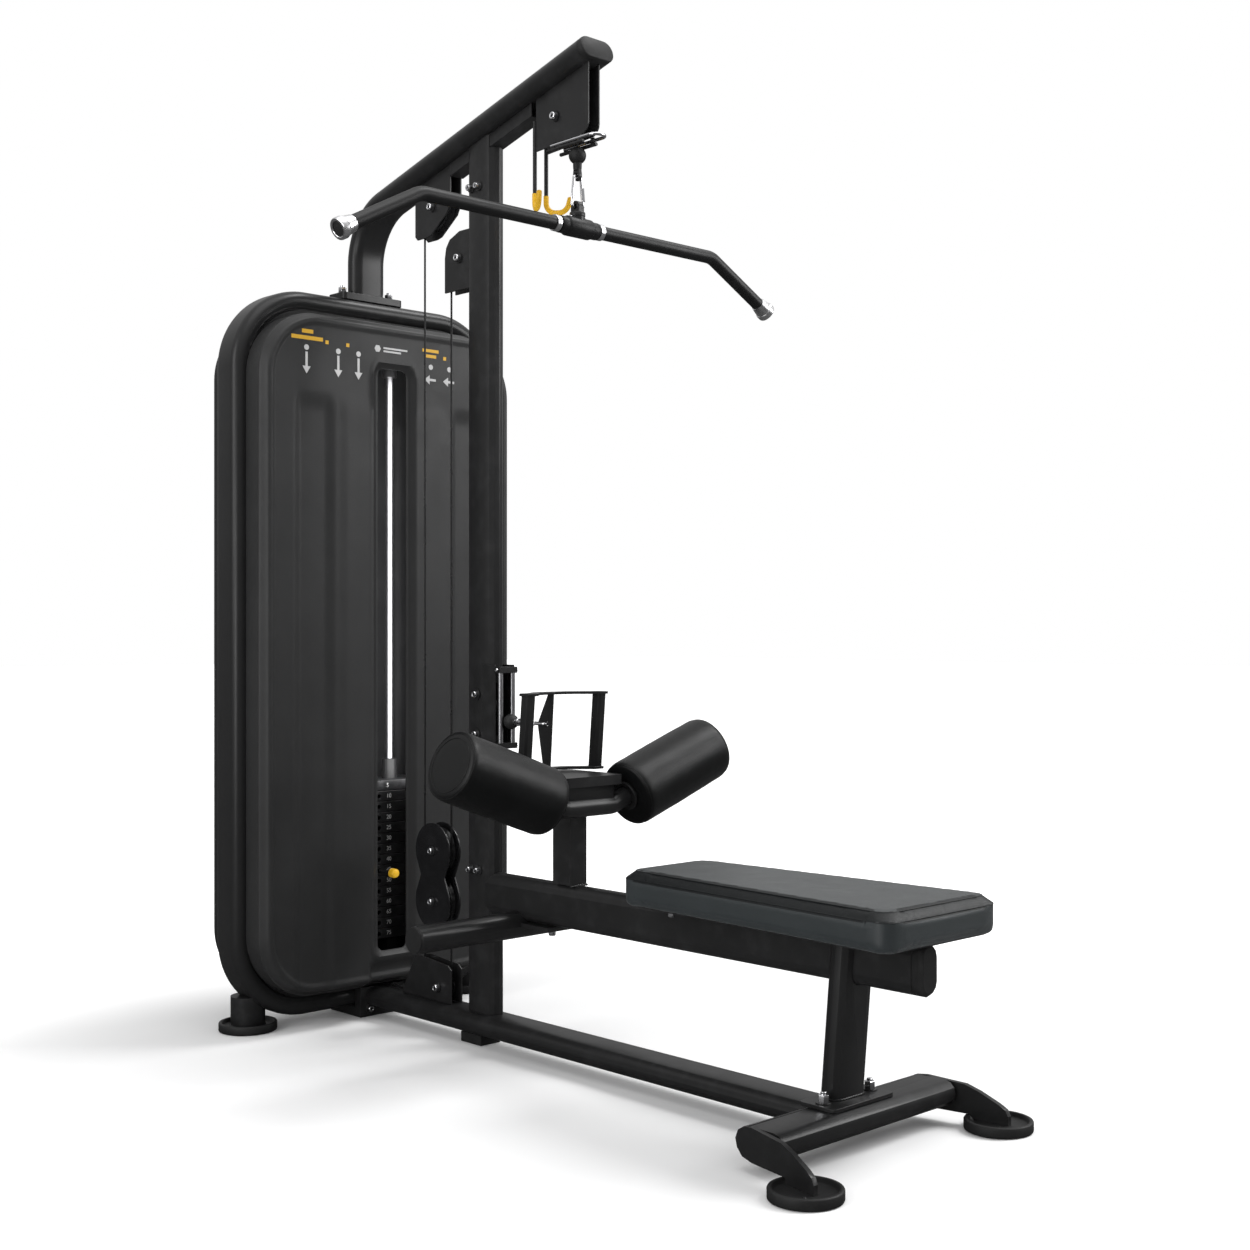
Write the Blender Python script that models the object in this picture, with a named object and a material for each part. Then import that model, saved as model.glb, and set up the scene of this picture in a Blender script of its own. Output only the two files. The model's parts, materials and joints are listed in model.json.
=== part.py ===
"""Lat pulldown machine with a seated-row station.

Frame: metres, +Z up, +X to the right of a person who faces the weight tower,
+Y from the bench towards the weight tower.  The origin lies on the floor under
the middle of the machine.
"""
import math

import bmesh
import bpy
from mathutils import Vector

for ob in list(bpy.data.objects):
    bpy.data.objects.remove(ob, do_unlink=True)

# ---------------------------------------------------------------- dimensions
GAP = 0.0003                     # working gap between touching pieces
Y0 = 0.889                       # bench datum (front foot line) to the origin

# flat-oval frame tube
TUBE_L, TUBE_S = 0.100, 0.050
WALL = 0.003

# weight tower (a bent loop of tube)
TW_Y = 1.735                     # centre plane
TW_HALF = 0.414                  # outer half width
TW_Z0, TW_Z1 = 0.025, 1.830      # outer bottom and top
TW_R = 0.180                     # bend radius on the tube's centre line
COVER_HALF = 0.384
COVER_Z0, COVER_Z1 = 0.085, 1.765
COVER_FACE_Y = 1.605
COVER_T = 0.0035
SLOT_HALF, SLOT_Z0, SLOT_Z1 = 0.056, 0.165, 1.655
REAR_Y = 1.865

# boom (sloping top tube with a bent rear leg)
BOOM_Y0, BOOM_ZC0 = 0.862, 2.270
BOOM_SLOPE = -0.258
BOOM_R = 0.150

# upright
UP_Y = 1.2395
# base and bench
BASE_ZC = 0.050
RAIL_Z0, RAIL_Z1 = 0.311, 0.413
BAR_Y = 0.914                    # lat cable and bar plane
BAR_Z = 1.888

# pulleys: pitch radius of the cable, outer radius, half width
CABLE_R = 0.0025
P_R, P_RO, P_W = 0.0535, 0.0565, 0.012
S_R, S_RO, S_W = 0.0300, 0.0330, 0.010     # small pulleys at the base
PIN_R = 0.005
PLATE_IN, PLATE_OUT = 0.014, 0.018         # side plates of pulley housings

FRONT_P = (BAR_Y + P_R, 2.146)
REAR_P = (1.4265, 2.024)
UP_P = (1.3195, 1.882)
ROW_R, ROW_RO = 0.034, 0.037
ROW_P = (1.266 - ROW_R, 0.770 + ROW_R)
FLOAT_HI = (1.4265, 0.442)
FLOAT_LO = (1.4265, 0.317)
BASE_P = (1.373 + S_R, 0.110)
TBASE_P = (1.785, 0.110)
TTOP_R, TTOP_RO = 0.040, 0.043
TTOP_P = (1.775, 1.712)

# weight stack
ST_HALF = 0.160
ST_Y0, ST_Y1 = 1.676, 1.794
ST_Z0, ST_PITCH, ST_T = 0.1896, 0.0272, 0.0262
N_REST, N_LIFT = 6, 8
ROD_X, ROD_R = 0.075, 0.010
SEL_Z = ST_Z0 + 6 * ST_PITCH + ST_T / 2

# ---------------------------------------------------------------- materials


def material(name, rgb, rough, metal):
    m = bpy.data.materials.new(name)
    m.use_nodes = True
    b = m.node_tree.nodes["Principled BSDF"]
    b.inputs["Base Color"].default_value = (rgb[0], rgb[1], rgb[2], 1.0)
    b.inputs["Roughness"].default_value = rough
    b.inputs["Metallic"].default_value = metal
    return m


FINISH = {
    "steel": ((0.012, 0.012, 0.013), 0.42, 0.0),
    "cover": ((0.030, 0.030, 0.032), 0.45, 0.0),
    "vinyl": ((0.020, 0.024, 0.028), 0.50, 0.0),
    "foam": ((0.010, 0.010, 0.010), 0.55, 0.0),
    "rubber": ((0.008, 0.008, 0.008), 0.60, 0.0),
    "chrome": ((0.75, 0.75, 0.76), 0.12, 1.0),
    "nylon": ((0.006, 0.006, 0.007), 0.18, 0.0),
    "iron": ((0.015, 0.015, 0.016), 0.50, 0.0),
    "yellow": ((0.70, 0.40, 0.01), 0.35, 0.0),
    "cable": ((0.004, 0.004, 0.004), 0.30, 0.0),
}

# ---------------------------------------------------------------- mesh helpers


def finish_object(name, bm, finish, origin=(0.0, Y0, 0.0), angle=35.0):
    """Make an object from a bmesh given in bench coordinates."""
    bmesh.ops.remove_doubles(bm, verts=bm.verts, dist=1e-6)
    bmesh.ops.recalc_face_normals(bm, faces=bm.faces)
    off = Vector(origin)
    for v in bm.verts:
        v.co -= off
    me = bpy.data.meshes.new(name)
    bm.to_mesh(me)
    bm.free()
    me.shade_smooth()
    me.set_sharp_from_angle(angle=math.radians(angle))
    ob = bpy.data.objects.new(name, me)
    ob.location = (off.x, off.y - Y0, off.z)
    bpy.context.scene.collection.objects.link(ob)
    if finish:
        rgb, rough, metal = FINISH[finish]
        me.materials.append(material("m_" + name, rgb, rough, metal))
    return ob


def add_rings(bm, rings, mode="caps"):
    """Loft equal rings.  mode 'caps' closes the ends, 'loop' joins last to first."""
    vs = [[bm.verts.new(p) for p in r] for r in rings]
    n = len(vs[0])
    pairs = list(zip(vs[:-1], vs[1:]))
    if mode == "loop":
        pairs.append((vs[-1], vs[0]))
    for a, b in pairs:
        for i in range(n):
            j = (i + 1) % n
            bm.faces.new((a[i], a[j], b[j], b[i]))
    if mode == "caps":
        bm.faces.new(list(reversed(vs[0])))
        bm.faces.new(vs[-1])


def flat_oval(length, short, n=6):
    r = short / 2.0
    c = (length - short) / 2.0
    pts = []
    for k in range(n + 1):
        a = -math.pi / 2 + math.pi * k / n
        pts.append((c + r * math.cos(a), r * math.sin(a)))
    for k in range(n + 1):
        a = math.pi / 2 + math.pi * k / n
        pts.append((-c + r * math.cos(a), r * math.sin(a)))
    return pts


def circle(r, n):
    return [(r * math.cos(2 * math.pi * k / n), r * math.sin(2 * math.pi * k / n))
            for k in range(n)]


def fillet(points, radii, seg=6):
    """Polyline with its inner corners replaced by arcs."""
    pts = [Vector(p) for p in points]
    out = [pts[0]]
    for i in range(1, len(pts) - 1):
        p = pts[i]
        a = (pts[i - 1] - p).normalized()
        b = (pts[i + 1] - p).normalized()
        ang = a.angle(b)
        r = radii[i - 1] if isinstance(radii, (list, tuple)) else radii
        if r <= 0 or ang > math.pi - 1e-4:
            out.append(p)
            continue
        d = r / math.tan(ang / 2)
        h = r / math.sin(ang / 2)
        c = p + (a + b).normalized() * h
        s = p + a * d - c
        e = p + b * d - c
        tot = s.angle(e)
        for k in range(seg + 1):
            t = k / seg
            v = (s * math.sin((1 - t) * tot) + e * math.sin(t * tot)) / math.sin(tot)
            out.append(c + v)
    out.append(pts[-1])
    return out


def sweep_rings(path, profile, normal, scales=None, closed=False, ends=None):
    N = Vector(normal).normalized()
    path = [Vector(p) for p in path]
    n = len(path)
    rings = []
    for i, p in enumerate(path):
        if closed:
            t = (path[(i + 1) % n] - path[i]).normalized() + (path[i] - path[i - 1]).normalized()
        elif i == 0:
            t = path[1] - path[0]
        elif i == n - 1:
            t = path[-1] - path[-2]
        else:
            t = (path[i + 1] - path[i]).normalized() + (path[i] - path[i - 1]).normalized()
        if ends and i == 0 and ends[0]:
            t = Vector(ends[0])
        if ends and i == n - 1 and ends[1]:
            t = Vector(ends[1])
        t.normalize()
        s = t.cross(N).normalized()
        k = scales[i] if scales else 1.0
        rings.append([p + N * (a * k) + s * (b * k) for a, b in profile])
    return rings


def arc(cy, cz, r, a0, a1, n, x=0.0):
    """Points on a circle in a plane of constant X; angles in degrees from +Y to +Z."""
    return [(x, cy + r * math.cos(math.radians(a0 + (a1 - a0) * k / n)),
             cz + r * math.sin(math.radians(a0 + (a1 - a0) * k / n))) for k in range(n + 1)]


def add_box(bm, x0, x1, y0, y1, z0, z1):
    add_rings(bm, [[(x0, y0, z), (x1, y0, z), (x1, y1, z), (x0, y1, z)] for z in (z0, z1)])


def add_prism(bm, outline, lo, hi, axis="X"):
    """Outline of (a, b) pairs extruded from lo to hi along an axis."""
    def put(a, b, c):
        return {"X": (c, a, b), "Y": (a, c, b), "Z": (a, b, c)}[axis]
    add_rings(bm, [[put(a, b, c) for a, b in outline] for c in (lo, hi)])


def add_turned(bm, profile, centre, axis, n, closed=True):
    """Turn (radius, height) pairs round an axis ('X', 'Y', 'Z' or a vector).

    closed: the profile is a loop off the axis (a ring); otherwise its first and
    last radius are 0 and it makes a solid.
    """
    ax = {"X": Vector((1, 0, 0)), "Y": Vector((0, 1, 0)), "Z": Vector((0, 0, 1))}.get(axis) \
        if isinstance(axis, str) else Vector(axis).normalized()
    u = ax.orthogonal().normalized()
    if isinstance(axis, str):
        u = {"X": Vector((0, 1, 0)), "Y": Vector((0, 0, 1)), "Z": Vector((1, 0, 0))}[axis]
    w = ax.cross(u)
    c = Vector(centre)
    rows = []
    for r, h in profile:
        if r < 1e-9:
            rows.append([bm.verts.new(c + ax * h)])
        else:
            rows.append([bm.verts.new(c + ax * h + (u * math.cos(2 * math.pi * k / n)
                                                    + w * math.sin(2 * math.pi * k / n)) * r)
                         for k in range(n)])
    pairs = list(zip(rows[:-1], rows[1:]))
    if closed:
        pairs.append((rows[-1], rows[0]))
    for a, b in pairs:
        for k in range(n):
            j = (k + 1) % n
            if len(a) == 1 and len(b) == 1:
                continue
            if len(a) == 1:
                bm.faces.new((a[0], b[j], b[k]))
            elif len(b) == 1:
                bm.faces.new((a[k], a[j], b[0]))
            else:
                bm.faces.new((a[k], a[j], b[j], b[k]))


def temp(build, name="tmp"):
    bm = bmesh.new()
    build(bm)
    return finish_object(name, bm, None)


def boolean(ob, other, op):
    """Apply one Boolean and remove the other operand."""
    m = ob.modifiers.new("bool", "BOOLEAN")
    m.operation = op
    m.object = other
    m.solver = "EXACT"
    dg = bpy.context.evaluated_depsgraph_get()
    me = bpy.data.meshes.new_from_object(ob.evaluated_get(dg))
    ob.modifiers.clear()
    old = ob.data
    mats = list(old.materials)
    ob.data = me
    me.materials.clear()
    for mt in mats:
        me.materials.append(mt)
    me.name = ob.name
    bpy.data.meshes.remove(old)
    bpy.data.objects.remove(other, do_unlink=True)
    bm = bmesh.new()
    bm.from_mesh(me)
    bmesh.ops.remove_doubles(bm, verts=bm.verts, dist=1.2e-5)
    bmesh.ops.dissolve_degenerate(bm, dist=1e-6, edges=bm.edges)
    for p in me.polygons:
        p.material_index = 0
    bm.to_mesh(me)
    bm.free()
    me.shade_smooth()
    me.set_sharp_from_angle(angle=math.radians(35))


def simple(name, finish, build, origin=(0.0, Y0, 0.0), angle=35.0):
    bm = bmesh.new()
    build(bm)
    return finish_object(name, bm, finish, origin, angle)


def union(ob, build):
    boolean(ob, temp(build), "UNION")


def cut(ob, build):
    boolean(ob, temp(build), "DIFFERENCE")


def boom_centre(y):
    return BOOM_ZC0 + BOOM_SLOPE * (y - BOOM_Y0)


BOOM_DROP = TUBE_S / 2 / math.cos(math.atan(BOOM_SLOPE))


def boom_under(y):
    return boom_centre(y) - BOOM_DROP - GAP


# ---------------------------------------------------------------- tower loop


def tower_path(side):
    xo = side * (TW_HALF - TUBE_S / 2)
    zt, zb = TW_Z1 - TUBE_S / 2, TW_Z0 + TUBE_S / 2
    x0 = side * GAP / 2
    return fillet([(x0, TW_Y, zt), (xo, TW_Y, zt), (xo, TW_Y, zb), (x0, TW_Y, zb)], TW_R, 7)


def tower_half(name, side):
    def body(bm):
        add_rings(bm, sweep_rings(tower_path(side), flat_oval(TUBE_L, TUBE_S), (0, 1, 0)))
    ob = simple(name, "steel", body)

    def post(bm):
        add_turned(bm, [(0, 0.0123), (0.042, 0.0123), (0.042, 0.085), (0, 0.085)],
                   (side * 0.340, 1.749, 0), "Z", 24, closed=False)
    union(ob, post)
    return ob


tower_half("tower_frame_left", -1)
tower_half("tower_frame_right", 1)


def rounded(xh, z0, z1, r, n=6, x0=None):
    """Rounded rectangle outline, anticlockwise in (x, z)."""
    xl = -xh if x0 is None else x0
    pts = []
    for cx, cz, a0 in ((xh - r, z1 - r, 0), (xl + r, z1 - r, 90),
                       (xl + r, z0 + r, 180), (xh - r, z0 + r, 270)):
        for k in range(n + 1):
            a = math.radians(a0 + 90.0 * k / n)
            pts.append((cx + r * math.cos(a), cz + r * math.sin(a)))
    return pts


def cover_ring(y, inset, r=0.160):
    return [(x, y, z) for x, z in rounded(COVER_HALF - inset, COVER_Z0 + inset,
                                          COVER_Z1 - inset, r - inset)]


def front_cover(bm):
    back = TW_Y - TUBE_L / 2 - 0.0006
    t = COVER_T
    slot = rounded(SLOT_HALF, SLOT_Z0, SLOT_Z1, 0.030)
    rings = [cover_ring(back, 0.0), cover_ring(1.630, 0.0), cover_ring(1.6125, 0.0075),
             cover_ring(COVER_FACE_Y, 0.025),
             [(x, COVER_FACE_Y, z) for x, z in slot],
             [(x, COVER_FACE_Y + t, z) for x, z in slot],
             cover_ring(COVER_FACE_Y + t, 0.0265), cover_ring(1.632, t), cover_ring(back, t)]
    add_rings(bm, rings, "loop")


simple("front_cover", "cover", front_cover)


def rear_cover(bm):
    front = TW_Y + TUBE_L / 2 + 0.0006
    t = COVER_T
    rings = [cover_ring(REAR_Y, 0.030), cover_ring(REAR_Y - 0.010, 0.0075),
             cover_ring(REAR_Y - 0.028, 0.0), cover_ring(front, 0.0),
             cover_ring(front, t), cover_ring(REAR_Y - 0.030, t),
             cover_ring(REAR_Y - t, 0.031)]
    add_rings(bm, rings)


rear = simple("rear_cover", "cover", rear_cover)
cut(rear, lambda bm: add_box(bm, -0.0195, 0.0195, 1.770, 1.8325, 0.080, 0.095))

# ---------------------------------------------------------------- feet


def foot(name, x, y, r=0.071):
    def body(bm):
        add_turned(bm, [(0, 0.0), (r - 0.002, 0.0), (r, 0.002), (r, 0.019), (r - 0.002, 0.0217),
                        (r - 0.008, 0.0217), (r - 0.011, 0.012), (0, 0.012)],
                   (x, y, 0), "Z", 28, closed=False)
    simple(name, "rubber", body)


foot("foot_front_left", -0.2930, 0.0, 0.068)
foot("foot_front_right", 0.2930, 0.0, 0.068)
foot("foot_rear_left", -0.340, 1.749)
foot("foot_rear_right", 0.340, 1.749)

# ---------------------------------------------------------------- base

CROSS_Y, CROSS_ZC, CROSS_L = 0.133, 0.060, 0.110


def cross_tube(bm, grow=0.0, half=0.2600):
    add_rings(bm, sweep_rings([(-half, CROSS_Y, CROSS_ZC), (half, CROSS_Y, CROSS_ZC)],
                              flat_oval(CROSS_L + 2 * grow, TUBE_S + 2 * grow), (0, 1, 0)))


LEG = [(0.193, 0.040), (0.198, 0.056), (0.190, 0.073), (0.172, 0.0835), (0.150, 0.0860),
       (0.066, 0.0805), (0.036, 0.070), (-0.004, 0.0510), (-0.018, 0.042), (-0.024, 0.030),
       (-0.024, 0.0123), (0.046, 0.0123), (0.056, 0.0225), (0.084, 0.0225), (0.150, 0.0225),
       (0.178, 0.027)]


def leg_plate(side):
    """Upright plate from the end of the crossbar out to the foot, turned 11 degrees in plan."""
    def x_mid(y):
        return 0.2905 - 0.195 * y
    return lambda bm: add_rings(bm, [[(side * (x_mid(y) + h), y, z) for y, z in LEG]
                                     for h in (-0.0055, 0.0055)])


stab = simple("front_stabiliser", "steel", cross_tube)
for sgn in (-1, 1):
    union(stab, leg_plate(sgn))


def base_rail(bm):
    add_rings(bm, sweep_rings([(0, 0.165, BASE_ZC), (0, 1.6597, BASE_ZC)],
                              flat_oval(TUBE_L, TUBE_S), (1, 0, 0)))


rail = simple("base_rail", "steel", base_rail)
cut(rail, lambda bm: cross_tube(bm, GAP, 0.20))


def base_bracket(bm):
    add_prism(bm, [(1.660, 0.0), (1.795, 0.0), (1.795, 0.0245), (1.6845, 0.0245),
                   (1.6845, 0.0747), (1.660, 0.0747)], -0.068, 0.068, "X")


simple("base_bracket", "steel", base_bracket)

# ---------------------------------------------------------------- upright


def upright_outer(bm, grow=0.0, z0=0.0753, z1=None):
    prof = flat_oval(TUBE_L + 2 * grow, TUBE_S + 2 * grow)
    lo = [(b, UP_Y + a, z0) for a, b in prof]
    hi = [(b, UP_Y + a, z1 if z1 else boom_under(UP_Y + a)) for a, b in prof]
    add_rings(bm, [lo, hi])


up = simple("upright", "steel", upright_outer)


def upright_inner(bm):
    prof = flat_oval(TUBE_L - 2 * WALL, TUBE_S - 2 * WALL)
    add_rings(bm, [[(b, UP_Y + a, z) for a, b in prof] for z in (0.05, 2.30)])


cut(up, upright_inner)
# notch for the cable channel, slot for the upper pulley, slot for the row pulley
cut(up, lambda bm: add_prism(bm, [(1.15, boom_under(1.15) - 0.0320), (1.33, boom_under(1.33) - 0.0320),
                                  (1.33, 2.40), (1.15, 2.40)], -0.0206, 0.0206, "X"))
cut(up, lambda bm: add_box(bm, -0.0186, 0.0186, 1.272, 1.31, 1.790, 1.960))
cut(up, lambda bm: add_box(bm, -0.0105, 0.0105, 1.17, 1.205, 0.735, 0.860))
union(up, lambda bm: add_turned(bm, [(0, -0.0235), (PIN_R, -0.0235), (PIN_R, 0.0235), (0, 0.0235)],
                                (0, ROW_P[0], ROW_P[1]), "X", 12, closed=False))

simple("upright_foot", "rubber",
       lambda bm: add_box(bm, -0.030, 0.030, 1.222, 1.298, 0.0, 0.0247))

# ---------------------------------------------------------------- boom


def boom(bm):
    leg_z = boom_centre(TW_Y)
    path = fillet([(0, BOOM_Y0, BOOM_ZC0), (0, TW_Y, leg_z), (0, TW_Y, 1.840)], BOOM_R, 8)
    add_rings(bm, sweep_rings(path, flat_oval(TUBE_L, TUBE_S), (1, 0, 0)))


bo = simple("boom", "steel", boom)
union(bo, lambda bm: add_prism(bm, rounded(0.092, TW_Y - 0.036, TW_Y + 0.036, 0.010, 3),
                               TW_Z1 + GAP, 1.848, "Z"))


def boom_end_cap(bm):
    s = Vector((0, -1, -BOOM_SLOPE)).normalized()
    p = Vector((0, BOOM_Y0, BOOM_ZC0)) + s * GAP
    path = [p, p + s * 0.010, p + s * 0.015]
    add_rings(bm, sweep_rings(path, flat_oval(TUBE_L, TUBE_S), (1, 0, 0), [1.0, 1.0, 0.90]))


simple("boom_end_cap", "rubber", boom_end_cap)


def cable_channel(bm):
    sec = [(-0.020, 0.0), (-0.020, -0.031), (0.020, -0.031), (0.020, 0.0),
           (0.017, 0.0), (0.017, -0.028), (-0.017, -0.028), (-0.017, 0.0)]
    add_rings(bm, [[(x, y, boom_under(y) + h) for x, h in sec] for y in (1.050, 1.353)])


simple("cable_channel", "steel", cable_channel)

# ---------------------------------------------------------------- pulley housings


def pin(y, z, r=PIN_R, half=PLATE_OUT - 0.0005):
    return lambda bm: add_turned(bm, [(0, -half), (r, -half), (r, half), (0, half)],
                                 (0, y, z), "X", 12, closed=False)


def plates(name, finish, outline, pins, inner=PLATE_IN, outer=PLATE_OUT, extra=()):
    ob = simple(name, finish, lambda bm: add_prism(bm, outline, -outer, -inner, "X"))
    for y, z in pins:
        union(ob, pin(y, z))
    union(ob, lambda bm: add_prism(bm, outline, inner, outer, "X"))
    for e in extra:
        union(ob, e)
    return ob


ty = boom_under
front_outline = [(1.036, ty(1.036)), (0.859, ty(0.859)), (0.859, 2.118), (0.864, 2.100),
                 (0.880, 2.087), (1.036, 2.080)]


def loop_guide(bm):
    path = fillet([(-0.020, 0.968, 2.081), (-0.020, 0.834, 2.081), (0.020, 0.834, 2.081),
                   (0.020, 0.968, 2.081)], 0.0195, 5)
    add_rings(bm, sweep_rings(path, circle(0.004, 8), (0, 0, 1)))


def hook(side):
    d = Vector((side * 0.51, -0.86, 0)).normalized()
    s = Vector((side * 0.0172, 1.0405, 0))
    nrm = d.cross(Vector((0, 0, 1)))

    def at(u, z):
        p = s + d * u
        return (p.x, p.y, z)

    def body(bm):
        path = fillet([at(0, 2.150), at(0, 1.946), at(0.052, 1.946), at(0.058, 1.982)],
                      [0.020, 0.020], 5)
        add_rings(bm, sweep_rings(path, circle(0.0055, 10), nrm))
    return body


plates("front_pulley_housing", "steel", front_outline, [FRONT_P],
       extra=[loop_guide, hook(-1), hook(1)])

plates("rear_pulley_housing", "steel",
       [(1.4965, ty(1.4965)), (1.3555, ty(1.3555)), (1.3555, 2.025), (1.370, 2.000), (1.432, 1.957),
        (1.450, 1.953), (1.488, 1.953), (1.4965, 1.962)], [REAR_P])

plates("upright_pulley_housing", "steel",
       [(1.377, 1.805), (1.377, 1.890), (1.372, 1.915), (1.358, 1.933), (1.320, 1.948),
        (1.262, 1.948), (1.262, 1.805)], [UP_P])

plates("bottom_pulley_bracket", "steel",
       [(1.352, 0.0755), (1.548, 0.0755), (1.548, 0.084), (1.497, 0.176), (1.470, 0.178),
        (1.365, 0.168), (1.352, 0.158)], [BASE_P],
       extra=[lambda bm: add_box(bm, -0.0145, 0.0145, 1.468, 1.492, 0.150, 0.160)])


def hourglass():
    (cy, hi), (_, lo) = FLOAT_HI, FLOAT_LO
    r, w = 0.069, 0.047
    mid = (hi + lo) / 2
    pts = []
    for k in range(13):
        a = math.radians(-15 + 210 * k / 12)
        pts.append((cy + r * math.cos(a), hi + r * math.sin(a)))
    pts.append((cy - w, mid))
    for k in range(13):
        a = math.radians(165 + 210 * k / 12)
        pts.append((cy + r * math.cos(a), lo + r * math.sin(a)))
    pts.append((cy + w, mid))
    return pts


plates("floating_block", "steel", hourglass(), [FLOAT_HI, FLOAT_LO])


def spine_cheek(outline, s):
    return lambda bm: add_prism(bm, outline, min(s * PLATE_IN, s * PLATE_OUT),
                                max(s * PLATE_IN, s * PLATE_OUT), "X")


SPINE_Y = TW_Y + TUBE_L / 2
spine = simple("cable_spine", "steel",
               lambda bm: add_box(bm, -PLATE_OUT, PLATE_OUT, 1.8255, 1.8305, 0.0757, 1.7608))
for sgn in (-1, 1):
    union(spine, spine_cheek([(1.765, 0.0757), (1.828, 0.0757), (1.828, 0.140), (1.765, 0.140)], sgn))
    union(spine, spine_cheek([(1.755, 1.690), (1.828, 1.690), (1.828, 1.7606), (SPINE_Y, 1.7606),
                              (SPINE_Y, 1.7795), (1.755, 1.7795)], sgn))
union(spine, pin(*TBASE_P, half=0.016))
union(spine, pin(*TTOP_P, half=0.016))

# ---------------------------------------------------------------- row outlet

ROW_ROD_X, ROW_ROD_Y = 0.018, 1.163


def row_cheek(s):
    return lambda bm: add_box(bm, min(s * 0.0260, s * 0.0300), max(s * 0.0260, s * 0.0300),
                              1.170, 1.214, 0.706, 0.903)


row_br = simple("row_outlet_bracket", "steel", row_cheek(-1))
union(row_br, lambda bm: add_box(bm, -0.0270, 0.0270, 1.1550, 1.186, 0.884, 0.8985))
union(row_br, lambda bm: add_box(bm, -0.0270, 0.0270, 1.1550, 1.186, 0.7065, 0.720))
union(row_br, row_cheek(1))
for sgn in (-1, 1):
    union(row_br, lambda bm, s=sgn: add_turned(bm, [(0, 0.715), (0.006, 0.715), (0.006, 0.890), (0, 0.890)],
                                              (s * ROW_ROD_X, ROW_ROD_Y, 0), "Z", 12, closed=False))

# ---------------------------------------------------------------- bench

seat_rail = simple("seat_rail", "steel", lambda bm: add_rings(bm, sweep_rings(
    [(0, -0.024, (RAIL_Z0 + RAIL_Z1) / 2), (0, 1.2140, (RAIL_Z0 + RAIL_Z1) / 2)],
    flat_oval(RAIL_Z1 - RAIL_Z0, TUBE_S), (0, 0, 1))))
cut(seat_rail, lambda bm: upright_outer(bm, GAP, 0.20, 0.60))

simple("seat_rail_cap", "rubber", lambda bm: add_rings(bm, sweep_rings(
    [(0, -0.024 - GAP, (RAIL_Z0 + RAIL_Z1) / 2), (0, -0.041, (RAIL_Z0 + RAIL_Z1) / 2),
     (0, -0.049, (RAIL_Z0 + RAIL_Z1) / 2)],
    flat_oval(RAIL_Z1 - RAIL_Z0, TUBE_S), (0, 0, 1), [1.0, 1.0, 0.86])))

post = simple("seat_post", "steel", lambda bm: add_rings(bm, sweep_rings(
    [(0, 0.157, 0.088), (0, 0.1298, 0.404)], flat_oval(TUBE_L, TUBE_S), (1, 0, 0),
    ends=((0, 0, 1), (0, 0, 1)))))
cut(post, lambda bm: add_rings(bm, sweep_rings(
    [(0, -0.10, (RAIL_Z0 + RAIL_Z1) / 2), (0, 0.40, (RAIL_Z0 + RAIL_Z1) / 2)],
    flat_oval(RAIL_Z1 - RAIL_Z0 + 2 * GAP, TUBE_S + 2 * GAP), (0, 0, 1))))
union(post, lambda bm: add_prism(bm, rounded(0.092, 0.100, 0.190, 0.010, 2),
                                 0.0853, 0.0930, "Z"))

# steel carrier plates welded on the rail under the seat
for ya, yb in ((0.030, 0.110), (0.500, 0.580)):
    union(seat_rail, lambda bm, a=ya, b=yb: add_box(bm, -0.095, 0.095, a, b, RAIL_Z1 - 0.006, 0.4137))


def seat_pad(bm):
    def ring(z, inset):
        pts = []
        y0, y1 = -0.087 + inset, 0.645 - inset
        h0, h1 = 0.173 - inset, 0.129 - inset
        r = 0.030
        for cx, cy, a0 in ((h1 - r, y1 - r, 0), (-h1 + r, y1 - r, 90),
                           (-h0 + r, y0 + r, 180), (h0 - r, y0 + r, 270)):
            for k in range(5):
                a = math.radians(a0 + 90.0 * k / 4)
                pts.append((cx + r * math.cos(a), cy + r * math.sin(a), z))
        return pts
    add_rings(bm, [ring(0.4140, 0.005), ring(0.4190, 0.0), ring(0.4720, 0.0), ring(0.4900, 0.016)])


simple("seat_pad", "vinyl", seat_pad)

# ---------------------------------------------------------------- knee hold-down

KNEE_Y = 0.880
ARM = math.radians(19.9)
ARM_X0, ARM_Z0 = 0.0715, 0.591


def arm_at(u, side):
    return (side * (ARM_X0 + u * math.cos(ARM)), KNEE_Y, ARM_Z0 + u * math.sin(ARM))


KNEE_AXIS = (math.cos(ARM), 0, math.sin(ARM))
ROLL_IN = (0.121 - ARM_X0) / math.cos(ARM)
ROLL_LEN = 0.2825

knee = simple("knee_hold_frame", "steel", lambda bm: add_box(
    bm, -0.025, 0.025, 0.911, 0.969, RAIL_Z1 + GAP, 0.640))


def knee_tube(bm):
    path = fillet([arm_at(ROLL_IN + 0.262, -1), (-ARM_X0, KNEE_Y, ARM_Z0), (ARM_X0, KNEE_Y, ARM_Z0),
                   arm_at(ROLL_IN + 0.262, 1)], 0.035, 4)
    add_rings(bm, sweep_rings(path, circle(0.022, 16), (0, 1, 0)))


union(knee, lambda bm: add_box(bm, -0.022, 0.022, 0.884, 0.920, 0.574, 0.639))
union(knee, knee_tube)
union(knee, lambda bm: add_prism(bm, rounded(0.088, 0.855, 1.042, 0.012, 3), 0.638, 0.660, "Z"))
union(knee, lambda bm: add_prism(bm, rounded(0.076, 0.867, 0.996, 0.012, 3), 0.6085, 0.6395, "Z"))


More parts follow.
